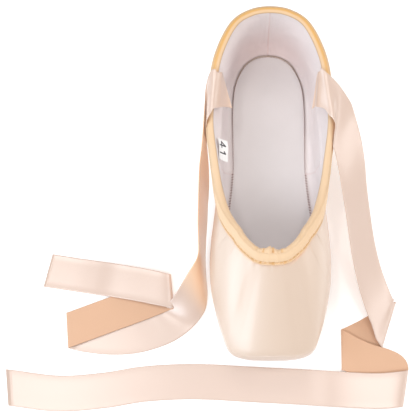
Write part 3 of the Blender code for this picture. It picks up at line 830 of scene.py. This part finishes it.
SEAM_GROOVE = 0.00035
seam_away = arc_grid - np.interp(SIDE_SEAM, places, collar_arc)
heel_away = arc_grid - collar_arc[-1]
side_groove = -SEAM_GROOVE * bump(seam_away, 0.0005)
side_ripple = 0.00012 * np.cos(2 * pi * drop / 0.0052) * bump(seam_away, 0.0035)
back_groove = -SEAM_GROOVE * bump(heel_away, 0.0006)

relief = pleats + puckers + side_groove + side_ripple + back_groove
for crease in CREASES:
    relief += trough(drop, arc_grid, side_grid, crease)
SLACK = 0.00018
quarters = smooth((u_grid - 7.5) / 2.0)
sway = np.sin(arc_grid * 210 + side_grid) * np.sin(drop * 150 + 1.3 * side_grid)
relief += SLACK * quarters * sway
print("relief in mm:", round(relief.min() / MM, 2), "to", round(relief.max() / MM, 2))

# %% [markdown]
# ## The satin
# The satin is the outer layer of the wall. Creases could be left to a bump, but a bump
# never shows at the outline, so the relief moves the surface itself. Warmer, deeper
# colour is painted on the steep flanks and in the creases: painted bounce light from other
# peach cloth and painted shade. A thin painted shadow runs under the casing's lower edge.

# %% Cut the satin
SATIN = 0.0008
satin_out = skin + normal * relief[..., None]
satin_in = skin - normal * SATIN + normal * np.minimum(relief, 0)[..., None]
steep = np.clip(1.0 - np.abs(normal[..., 2]), 0.0, 1.0)
# painted warm bounce light on the steep flanks, a painted shadow line under the casing and
# painted shade in the creases
painted_warm_shade = 0.42 * smooth((steep - 0.55) / 0.45) * smooth((u_grid - 4.0) / 5.0)
under_casing_shadow = 0.25 + 0.75 * bump(arc_grid - 0.016, 0.007)
painted_warm_shade += under_casing_shadow * bump(np.maximum(casing_foot, 0), 0.0010)
painted_warm_shade += 0.2 * np.clip(-relief / 0.0012, 0, 1)
satin_shade = np.concatenate([painted_warm_shade, painted_warm_shade[:, ::-1]], axis=1)
satin_rings = np.concatenate([satin_out, satin_in[:, ::-1]], axis=1)
satin = loft("satin_upper", satin_rings, shade=np.clip(satin_shade, 0, 1))
dress(satin, "peach_satin", peach_satin, stands_for=["upper"])

# %% [markdown]
# ## The lining
# Inside, the wall is covered in plain cotton. Another colour on the back of the satin
# would do from afar, but a layer of its own can have its own seams: one up the middle
# of the heel and one at each side. It is a little loose, so its face waves softly. It
# is kept clear of the satin's creases, because the glued canvas lies between them.

# %% Cut the lining
LINING_FIRST_ROW = 4
CANVAS = 0.0006
loose = 0.00022 * np.sin(arc_grid * 190 + 2 * side_grid) * np.sin(drop * 120 + 0.6)
loose += 0.00030 * bump(heel_away, 0.0012) - 0.00035 * bump(heel_away, 0.0004)
loose += 0.00016 * np.cos(2 * pi * heel_away / 0.0047) * bump(heel_away, 0.011)
loose -= 0.00030 * bump(seam_away, 0.0005)
loose += 0.00025 * bump(seam_away - 0.0016, 0.0012)
loose *= smooth((drop - 0.003) / 0.004)
pressed = np.minimum(relief, 0)
face_depth = np.maximum(WALL + loose, SATIN + CANVAS - pressed)
back_depth = SATIN + CANVAS / 2 - pressed
lining_face = (skin - normal * face_depth[..., None])[:, LINING_FIRST_ROW:]
lining_back = (skin - normal * back_depth[..., None])[:, LINING_FIRST_ROW:]
heel_part = smooth((u_grid - 12.0) / 3.0)
# painted warm shade low on the heel wall, and darker seam lines of the cloth itself
seam_lines_and_heel_shade = 0.30 * heel_part * smooth((drop - 0.012) / 0.04)
seam_lines_and_heel_shade += 0.18 * bump(seam_away, 0.0006) + 0.30 * bump(heel_away, 0.0005)
seam_lines_and_heel_shade = np.clip(seam_lines_and_heel_shade, 0, 1)[:, LINING_FIRST_ROW:]
lining_rings = np.concatenate([lining_back, lining_face[:, ::-1]], axis=1)
lining_shade = np.concatenate([seam_lines_and_heel_shade, seam_lines_and_heel_shade[:, ::-1]], axis=1)
lining = loft("lining", lining_rings, shade=lining_shade)
dress(lining, "lining_cloth", lining_cloth)

# %% [markdown]
# ## The casing
# The casing is a strip folded over the collar's edge. A drawstring runs inside it,
# so it is round near the edge and flat where it is stitched down. Drawing the string
# up gathers the strip at the throat, where its two ends meet in a small peak with a
# slit between them. A round tube along the edge would be simpler, but it couldn't lie
# flat at its stitching. Waves and bumps along the edge make the gathers, and three of
# the four waves die out away from the throat.

# %% Gathers of the casing
CASING_LINING_DEPTH = 0.0052
CASING_GAP = 0.0006
CASING_PUFF = 0.0011
STITCH_PLACE = 0.0061


PEAKS = (
    # place along the collar from the throat, width, height
    (-0.0014, 0.0036, 0.0028), (0.0070, 0.0013, 0.0005), (-0.0066, 0.0013, 0.0006),
    (0.0108, 0.0016, 0.0002), (-0.0100, 0.0016, 0.0002), (-0.0004, 0.0006, -0.0010),
)
RIPPLES = (
    # length of a wave, its start, how far it reaches from the throat, height
    (0.0046, 0.8, 0.016, 0.00016), (0.0025, 0.4, 0.0095, 0.00016),
    (0.0083, 0.5, 0.070, 0.00016), (0.0127, 0.0, 10.0, 0.00007),
)
FOLDS = (
    # place along the collar from the throat, width, height
    (0.0022, 0.0013, 0.0008), (-0.0023, 0.0013, 0.0007), (-0.0100, 0.0006, -0.00025),
    (-0.0058, 0.0006, -0.0006), (0.0060, 0.0006, -0.0006), (0.0102, 0.0006, -0.0003),
    (0.0006, 0.0007, -0.0018),
)


def gather_rise(s):
    """How far the casing stands up above the collar's edge."""
    return sum(height * bump(s - place, width) for place, width, height in PEAKS)


def gather_swell(s):
    """How far the casing swells out, in folds that fade away from the throat."""
    swell = sum(height * bump(s - place, width) for place, width, height in FOLDS)
    for length, start, reach, height in RIPPLES:
        swell = swell + height * np.sin(2 * pi * s / length + start) * bump(s, reach)
    return swell


print("gathers:", len(PEAKS), "peaks,", len(FOLDS), "folds,", len(RIPPLES), "ripples")

# %% [markdown]
# The strip is laid out on the skin at given distances below the collar's edge: its
# outside in one grid, its inner leaf in another.

# %% Lay out the strip
casing_places = np.unique(np.round(np.concatenate([
    np.arange(0, 3, 0.03), np.arange(3, 8, 0.06), np.linspace(8, 16, 97)]), 4))
drops = MM * np.array([
    7.6, 7.45, 7.15, 6.7, 6.3, 6.1, 5.9, 5.5, 5.0, 4.2, 3.4, 2.6, 1.8, 1.0, 0.2])
inner_drops = MM * np.array([0.2, 0.8, 1.6, 2.6, 3.6, 4.5, 5.0, 5.2])


def collar_grid(values, falls):
    """Points of the wall at given distances below the collar's edge."""
    half = []
    for u in values:
        below, above = profile(u)
        total = running(above)[-1]
        half.append(at(above, total - falls))
    half = np.array(half)
    half[0, :, 0] = 0.0
    half[-1, :, 0] = 0.0
    return whole(half)


strip = collar_grid(casing_places, drops)
strip_normal = surface_normals(strip)
leaf = collar_grid(casing_places, inner_drops)
leaf_normal = -surface_normals(leaf)
strip_arc = running(strip[:len(casing_places), -1])
strip_side = np.ones(len(strip))
strip_side[len(casing_places):] = -1.0
signed = whole(strip_arc[:, None], sideways=False)[:, 0] * strip_side
print("casing columns:", len(strip), "half length in mm:", round(strip_arc[-1] / MM))

# %% [markdown]
# The loop of the casing goes up its outside, over the edge in an arc, down its inner
# leaf and back beside the wall. The dent of the stitching runs near its lower edge.
# First comes the outside, puffed up by the string inside it.

# %% The outside of the casing
swell = gather_swell(signed)[:, None]
fall = drops[None, :]
full = smooth((STITCH_PLACE + 0.0006 - fall) / 0.0030)
lip = 0.00040 * bump(fall - STITCH_PLACE - 0.0010, 0.0004)
dent = -0.00030 * bump(fall - STITCH_PLACE, 0.00035)
grow = smooth((CASING_DEPTH - fall) / 0.0030)
outer_off = CASING_GAP + 0.0004 + lip + dent + CASING_PUFF * full
outer_off = np.maximum(outer_off + swell * (0.30 + 0.70 * grow), CASING_GAP)
outer_off[:, 0] = CASING_GAP
outside = strip + strip_normal * outer_off[..., None]
print("casing stands off the wall by up to", round(outer_off.max() / MM, 1), "mm")

# %% [markdown]
# The arc over the edge is half an ellipse: as wide as the wall with the strip on both
# sides, and as high as the gathers make it.

# %% The arc over the edge
TURNS = np.radians([25, 50, 75, 100, 125, 150])
EDGE_RISE = 0.0013
upward = unit(strip[:, -1] - strip[:, -4])
edge = strip[:, -1] + upward * 0.0002
edge_normal = strip_normal[:, -1]
rise = (GAP + EDGE_RISE + gather_rise(signed))[:, None]
top_out = outer_off[:, -1][:, None]
top_in = (WALL + CASING_GAP + 0.0007 + 0.5 * np.maximum(swell[:, 0], 0))[:, None]
middle = (top_out - top_in) / 2
reach = (top_out + top_in) / 2
over = []
for turn in TURNS:
    sidestep = edge_normal * (middle + reach * np.cos(turn))
    over.append(edge + sidestep + upward * rise * np.sin(turn))
over = np.stack(over, axis=1)
print("highest gather in mm:", round(rise.max() / MM, 1))

# %% [markdown]
# The inner leaf and the hidden return beside the wall close the loop. The strip turns
# golden towards the heel. Painted shade darkens the troughs of its gathers and the dent of
# its stitching, a painted shadow runs along its lower edge, strongest beside the throat,
# and the hidden return is painted fully shaded.

# %% Close the casing and tint it
leaf_fall = inner_drops[None, :]
leaf_off = 0.0007 * smooth((CASING_LINING_DEPTH - leaf_fall) / 0.0020) + 0.0002
leaf_off = WALL + CASING_GAP + leaf_off + 0.35 * np.maximum(swell, 0)
leaf_points = leaf + leaf_normal * leaf_off[..., None]
hidden_leaf = leaf[:, ::-1][:, ::3] + leaf_normal[:, ::-1][:, ::3] * (WALL + 0.0003)
hidden_strip = strip[:, ::-1][:, ::4] + strip_normal[:, ::-1][:, ::4] * 0.0004
casing_rings = np.concatenate([outside, over, leaf_points, hidden_leaf, hidden_strip], axis=1)
# painted shade in the troughs of the gathers, in the stitch dent and along the lower edge
fold_shade = np.clip(-swell / 0.0006, 0, 1) * bump(signed, 0.03)[:, None]
casing_shade = np.zeros(casing_rings.shape[:2])
outer_end = len(drops)
arc_end = outer_end + len(TURNS)
crest = outer_end + len(TURNS) // 2
casing_shade[:, :outer_end] = 0.45 * bump(fall - STITCH_PLACE, 0.0005) + 0.3 * fold_shade
painted_edge_shadow = bump(signed + 0.0120, 0.0045) + bump(signed - 0.0165, 0.0050)
casing_shade[:, :2] += 0.12 + 0.45 * painted_edge_shadow[:, None]
casing_shade[:, outer_end:arc_end] = 0.4 * fold_shade
casing_u = np.concatenate([casing_places, casing_places[-2:0:-1]])[:, None]
heelwards = smooth((casing_u - 10.0) / 4.0)
casing_shade[:, :crest] += 0.85 * heelwards
casing_shade[:, crest:] += 0.20 * heelwards
casing_shade[:, arc_end + len(inner_drops):] = 1.0
casing = loft("casing_strip", casing_rings, shade=np.clip(casing_shade, 0, 1))
dress(casing, "casing_satin", casing_satin, stands_for=["casing"])

# %% [markdown]
# ## Stitches
# A stitch is a short piece of thread with both ends sunk into the cloth. A drawn line
# would look painted on, so each one is a small solid that catches the light. One helper
# lays a row of them along any line, so the same small capsule serves the casing and
# the edge of the insole, with its own length and lean at each.

# %% The shape of a stitch
STITCH_RING = 6
STITCH_SHAPE = np.array([(-1.0, 0.15), (-0.75, 0.75), (0.0, 1.0), (0.75, 0.75), (1.0, 0.15)])


def stitch_faces(count):
    """Faces of a number of stitches, each a row of rings closed at both ends."""
    rings = len(STITCH_SHAPE)
    faces = []
    for stitch in range(count):
        base = stitch * rings * STITCH_RING
        for ring in range(rings - 1):
            for k in range(STITCH_RING):
                a = base + ring * STITCH_RING + k
                b = base + ring * STITCH_RING + (k + 1) % STITCH_RING
                faces.append((a, b, b + STITCH_RING, a + STITCH_RING))
        faces.append([base + k for k in range(STITCH_RING)][::-1])
        faces.append([base + (rings - 1) * STITCH_RING + k for k in range(STITCH_RING)])
    return faces


print("faces of one stitch:", len(stitch_faces(1)))

# %% [markdown]
# A row of stitches needs a line to follow and the way the cloth faces along it. The
# middle of each stitch lies on the cloth and its ends sink in.

# %% Sew the casing down
STITCH_NUDGE = 1e-4
SINK = 0.5


def sew(name, line, up, pitch, length, width, finish, slot, lean=0.0, closed=False):
    """Stitches along a line of points whose surface faces up."""
    if closed:
        line = np.vstack([line, line[:1]])
        up = np.vstack([up, up[:1]])
    total = running(line)
    spots = np.arange(pitch / 2, total[-1], pitch)
    centre = at(line, spots)
    face = unit(np.stack([np.interp(spots, total, up[:, k]) for k in range(3)], -1))
    way = unit(at(line, spots + STITCH_NUDGE) - at(line, spots - STITCH_NUDGE))
    across = np.cross(face, way)
    lie = way * cos(lean) + across * sin(lean)
    flank = np.cross(face, lie)
    angle = np.arange(STITCH_RING) * 2 * pi / STITCH_RING
    points = []
    for place_along, girth in STITCH_SHAPE:
        sink = -SINK * width * abs(place_along) ** 2
        middle = centre + lie * (place_along * length / 2) + face * sink
        for turn in angle:
            points.append(middle + (flank * cos(turn) + face * sin(turn)) * (girth * width / 2))
    points = np.array(points).transpose(1, 0, 2).reshape(-1, 3)
    mesh = bpy.data.meshes.new(name)
    mesh.from_pydata(points.tolist(), [], stitch_faces(len(spots)))
    mesh.shade_smooth()
    piece = bpy.data.objects.new(name, mesh)
    bpy.context.scene.collection.objects.link(piece)
    dress(piece, slot, finish)


stitch_row = int(np.argmin(np.abs(drops - STITCH_PLACE)))
sew("casing_stitches", outside[:, stitch_row], strip_normal[:, stitch_row], pitch=0.0030,
    length=0.0021, width=0.00042, finish=thread_plain, slot="casing_satin", closed=True)

# %% [markdown]
# ## The insole
# The insole is a board under cotton that fills the floor of the shoe. Its outline is
# found where the wall leaves the floor, then smoothed, because a board is cut with a
# knife in one sweep.

# %% Find the outline of the insole
FLOOR_HEIGHT = SOLE_THICKNESS + GAP + GAP * 0.5
insole_places = np.linspace(0, LAST_SECTION, LAST_SECTION * 12 + 1)
half_edge = []
for u in insole_places:
    below, above = profile(u)
    height = below[:, 2] - lift(below[:, 1])
    flat_end = int(np.argmax(height > FLOOR_HEIGHT))
    span = height[flat_end] - height[flat_end - 1]
    share = (FLOOR_HEIGHT - height[flat_end - 1]) / span
    half_edge.append(below[flat_end - 1] + (below[flat_end] - below[flat_end - 1]) * share)
half_edge = np.array(half_edge)
half_edge[[0, -1], 0] = 0.0
SMOOTHINGS = 6
for _ in range(SMOOTHINGS):
    half_edge[1:-1] = (half_edge[:-2] + 2 * half_edge[1:-1] + half_edge[2:]) / 4
INSOLE_CLEARANCE = 0.0006
insole_edge = inset(whole(half_edge), INSOLE_CLEARANCE)
print("widest place of the insole in mm:", round(2 * insole_edge[:, 0].max() / MM, 1))

# %% [markdown]
# A flat piece is a stack of its own outline: each layer is the outline drawn in to a
# share of its width, at a height above the tread. A thickened sheet would be quicker,
# but the insole is slightly dished and its edge rolls down into the corner.

# %% Lay the insole
INSOLE_TOP = SOLE_THICKNESS + GAP + WALL + GAP + INSOLE_THICKNESS
# the shade column is painted shade on the rolled edge, where it goes down into the corner
# beside the lining
INSOLE_LAYERS = (
    # share of the outline, height above the tread, shade
    (0.0, INSOLE_TOP - 0.0016, 0.0), (0.97, INSOLE_TOP - 0.0016, 0.0),
    (1.00, INSOLE_TOP - 0.0010, 0.5), (1.00, INSOLE_TOP - 0.0004, 0.5),
    (0.994, INSOLE_TOP + 0.0001, 0.30), (0.984, INSOLE_TOP + 0.0004, 0.12),
    (0.968, INSOLE_TOP + 0.0004, 0.05), (0.93, INSOLE_TOP + 0.0002, 0.02),
    (0.86, INSOLE_TOP, 0.0), (0.70, INSOLE_TOP - 0.0001, 0.0),
    (0.50, INSOLE_TOP - 0.0002, 0.0), (0.30, INSOLE_TOP - 0.0003, 0.0),
    (0.15, INSOLE_TOP - 0.0003, 0.0), (0.0, INSOLE_TOP - 0.0003, 0.0),
)


def stack(edge, layers):
    """Rings and shade of a flat piece from its outline and its layers."""
    rings = []
    shades = []
    spine = spine_under(edge)
    for share, height, shade in layers:
        ring = spine + (edge - spine) * share
        ring[:, 2] = height + lift(ring[:, 1])
        rings.append(ring)
        shades.append(np.full(len(ring), shade))
    return np.stack(rings, axis=1), np.stack(shades, axis=1)


insole_rings, insole_shade = stack(insole_edge, INSOLE_LAYERS)
insole = loft("insole_board", insole_rings, closed_across=False, shade=insole_shade)
dress(insole, "insole_cloth", insole_cloth, stands_for=["insole"])

# %% [markdown]
# A dark overcast seam ties the insole to the lining along the waist. Its threads lean
# steeply over the edge. Finer stitches follow the edge from there round the heel.

# %% Sew the edge of the insole
ROLLED_LAYER = 4
WAIST_FRONT = -0.050
WAIST_BACK = 0.016
OVERCAST_LEAN = radians(68)
seam_line = insole_rings[:, ROLLED_LAYER] + np.array([0, 0, 0.0002])
seam_up = np.tile([0.0, 0.0, 1.0], (len(seam_line), 1))
waist = (seam_line[:, 1] < WAIST_BACK) & (seam_line[:, 1] > WAIST_FRONT)
for hand, word in ((1, "right"), (-1, "left")):
    on_side = np.sign(seam_line[:, 0]) == hand
    part = waist & on_side
    sew("overcast_" + word, seam_line[part], seam_up[part], pitch=0.0019, length=0.0024,
        width=0.0006, finish=thread_brown, slot="insole_cloth", lean=OVERCAST_LEAN * hand)
    rest = (seam_line[:, 1] >= WAIST_BACK) & on_side
    sew("edge_stitches_" + word, seam_line[rest], seam_up[rest], pitch=0.0021, length=0.0014,
        width=0.00032, finish=thread_brown, slot="insole_cloth")

# %% [markdown]
# ## The outsole
# The sole is split leather, much narrower than the shoe, laid over the gathered
# satin. Its edge is bevelled and slightly burnished, and a stitch channel follows it.
# It is a stack of its outline too, so bevel and channel are rows of one short table.

# %% Cut the outsole
SOLE_EDGE_ROUND = 0.0010
sole_places = np.linspace(0, LAST_SECTION, LAST_SECTION * 12 + 1)
half_sole = []
for u in sole_places:
    row = section_at(u)
    half_sole.append([row["sole_x"] * HALF_BALL, TOE_Y + row["sole_y"] * LENGTH, 0.0])
half_sole = np.array(half_sole)
half_sole[[0, -1], 0] = 0.0
sole_edge = whole(half_sole)
SOLE_LAYERS = (
    # share of the outline, height above the tread, shade
    (0.0, 0.0, 0.0), (0.50, 0.0, 0.05), (0.80, 0.0, 0.10), (0.872, 0.0, 0.2),
    (0.880, 0.0004, 0.9), (0.888, 0.0, 0.2), (0.915, 0.0, 0.25), (0.96, 0.0003, 0.5),
    (0.985, SOLE_EDGE_ROUND * 0.6, 0.8), (1.0, SOLE_EDGE_ROUND * 1.3, 1.0),
    (1.0, SOLE_THICKNESS - SOLE_EDGE_ROUND * 0.8, 1.0),
    (0.990, SOLE_THICKNESS - 0.0002, 0.8), (0.96, SOLE_THICKNESS, 0.5),
    (0.60, SOLE_THICKNESS, 0.2), (0.0, SOLE_THICKNESS, 0.2),
)
sole_rings, sole_shade = stack(sole_edge, SOLE_LAYERS)
sole = loft("leather_outsole", sole_rings, closed_across=False, shade=sole_shade)
dress(sole, "sole_leather", sole_leather, stands_for=["outsole"])

# %% [markdown]
# ## The size label
# A small white tape sits on the left lining below the casing. It is cut here as a
# little rippled sheet on the same wall, a bit loose at its lower edge, and carries
# nothing but a plain size number. Printed ink has no thickness, so raised letters
# would look wrong. The shade of the sheet is 1 near the strokes of the number, and the
# deep colour of its cloth is ink.

# %% Cut the label
LABEL_PLACES = (10.06, 10.67)
LABEL_DROPS = (0.0085, 0.0165)
LABEL_SIZE = np.array([0.0140, 0.0090])
HALF_STROKE = 0.0006
STROKE_BLUR = 0.0003
label_u = np.linspace(*LABEL_PLACES, 81)
label_fall = np.linspace(*LABEL_DROPS, 61)
NUMBER_STROKES = (
    ((0.30, 0.22), (0.30, 0.78)), ((0.30, 0.78), (0.12, 0.42)), ((0.12, 0.42), (0.40, 0.42)),
    ((0.66, 0.22), (0.66, 0.78)), ((0.66, 0.78), (0.57, 0.66)),
)


def on_left_lining(values, falls, off):
    """Points inside the left wall, off the lining by a distance."""
    grid = []
    for u in values:
        above = profile(u)[1]
        grid.append(at(above, running(above)[-1] - falls))
    grid = np.array(grid)
    around = np.gradient(grid, axis=0)
    down = np.gradient(grid, axis=1)
    face = unit(np.cross(down, around))
    face *= np.sign(face[..., :1])
    grid = grid - face * (WALL + off)[..., None]
    grid[..., 0] *= -1
    return grid


down_label = np.linspace(0, 1, len(label_fall))[None, :]
along_label = np.linspace(1, 0, len(label_u))[:, None]
label_ripple = 0.0012 + 0.0046 * down_label ** 1.5 + 0.0003 * np.sin(5 * along_label)
label_top = on_left_lining(label_u, label_fall, label_ripple)
spots = np.stack(np.broadcast_arrays(along_label, down_label), axis=-1) * LABEL_SIZE
ink = np.zeros(spots.shape[:2])
for stroke in NUMBER_STROKES:
    first, last = np.array(stroke) * LABEL_SIZE
    way = last - first
    share = np.clip((spots - first) @ way / (way @ way), 0.0, 1.0)
    away = np.linalg.norm(spots - first - share[..., None] * way, axis=-1)
    ink = np.maximum(ink, smooth((HALF_STROKE - away) / STROKE_BLUR))
label = loft("size_label", label_top, closed_round=False, closed_across=False, shade=ink)
dress(label, "lining_cloth", label_cloth)

# %% [markdown]
# ## The floor and the light
# The shoe stands on a plain white floor. The floor glows a little by itself, so that
# the shadows stay as faint as on a photographer's light table.

# %% Lay the floor
FLOOR_HALF = 3.0
FLOOR_GLOW = 0.22
corners = [(-FLOOR_HALF, -FLOOR_HALF, 0.0), (FLOOR_HALF, -FLOOR_HALF, 0.0),
           (FLOOR_HALF, FLOOR_HALF, 0.0), (-FLOOR_HALF, FLOOR_HALF, 0.0)]
floor_mesh = bpy.data.meshes.new("floor")
floor_mesh.from_pydata(corners, [], [(0, 1, 2, 3)])
floor = bpy.data.objects.new("floor", floor_mesh)
bpy.context.scene.collection.objects.link(floor)
floor_white = bpy.data.materials.new("floor_white")
floor_white.use_nodes = True
floor_shader = floor_white.node_tree.nodes["Principled BSDF"]
floor_shader.inputs["Base Color"].default_value = (0.93, 0.93, 0.93, 1.0)
floor_shader.inputs["Roughness"].default_value = 0.9
floor_shader.inputs["Specular IOR Level"].default_value = 0.1
floor_shader.inputs["Emission Color"].default_value = (1.0, 1.0, 1.0, 1.0)
floor_shader.inputs["Emission Strength"].default_value = FLOOR_GLOW
floor_mesh.materials.append(floor_white)
print("floor:", 2 * FLOOR_HALF, "m wide")

# %% [markdown]
# A white sky alone would light the shoe evenly, but satin needs something bright to
# mirror. A wide, slightly cool lamp on the left draws the streak down the vamp. Three
# soft lamps, on the right, in front and behind, only brighten the cloth: the satin
# doesn't mirror them. Three small ones, two high up and one at the right, put the
# glints on the ribbons. The sky fills what is left.

# %% Hang the lamps
LAMP_WHITE = (1.0, 0.99, 0.975)
COOL_WHITE = (0.80, 0.90, 1.0)


def lamp(name, place, aim, size, power, lean=(1.0, 0.0, 0.0), mirrored=True,
         colour=LAMP_WHITE):
    """Soft rectangular lamp that looks at a point, its first side along lean."""
    data = bpy.data.lights.new(name, "AREA")
    data.shape = "RECTANGLE"
    data.size = size[0]
    data.size_y = size[1]
    data.energy = power
    data.color = colour
    holder = bpy.data.objects.new(name, data)
    holder.location = place
    back = (Vector(place) - Vector(aim)).normalized()
    first = (Vector(lean) - back * back.dot(Vector(lean))).normalized()
    turned = Matrix((first, back.cross(first), back)).transposed()
    holder.rotation_euler = turned.to_euler()
    holder.visible_glossy = mirrored
    bpy.context.scene.collection.objects.link(holder)


SHOE_MIDDLE = (0.0, 0.0, 0.03)
VAMP_LEFT = (-0.024, -0.075, 0.042)
RIBBON_LEFT_END = (-0.14, -0.13, 0.0)
RIBBON_FOLD = (0.07, -0.13, 0.0)
RIBBON_TWIST = (0.076, -0.067, 0.006)
GLINT_SIZE = (0.11, 0.40)
lamp("left_wide", (-0.80, -0.38, 0.62), VAMP_LEFT, (1.20, 0.46), 7.0,
     lean=(0.36, -0.50, 0.46), colour=COOL_WHITE)
lamp("right_soft", (1.05, -0.10, 0.55), SHOE_MIDDLE, (0.40, 1.00), 4.0, mirrored=False)
lamp("front_soft", (0.0, -0.95, 1.15), SHOE_MIDDLE, (0.90, 0.50), 4.0, mirrored=False)
lamp("back_soft", (0.0, 0.75, 1.25), SHOE_MIDDLE, (0.90, 0.50), 4.2, mirrored=False)
lamp("glint_left", (-0.47, 0.08, 1.60), RIBBON_LEFT_END, GLINT_SIZE, 2.6)
lamp("glint_right", (0.32, 0.10, 1.60), RIBBON_FOLD, GLINT_SIZE, 2.6)
lamp("glint_low", (0.96, -0.06, 0.52), RIBBON_TWIST, (0.10, 0.30), 0.6)

SKY_STRENGTH = 0.50
world = bpy.data.worlds.new("studio")
world.use_nodes = True
sky = world.node_tree.nodes["Background"]
sky.inputs["Color"].default_value = (1.0, 0.995, 0.99, 1.0)
sky.inputs["Strength"].default_value = SKY_STRENGTH
bpy.context.scene.world = world
bpy.context.scene.view_settings.view_transform = "Standard"
print("lamps:", len(bpy.data.lights))
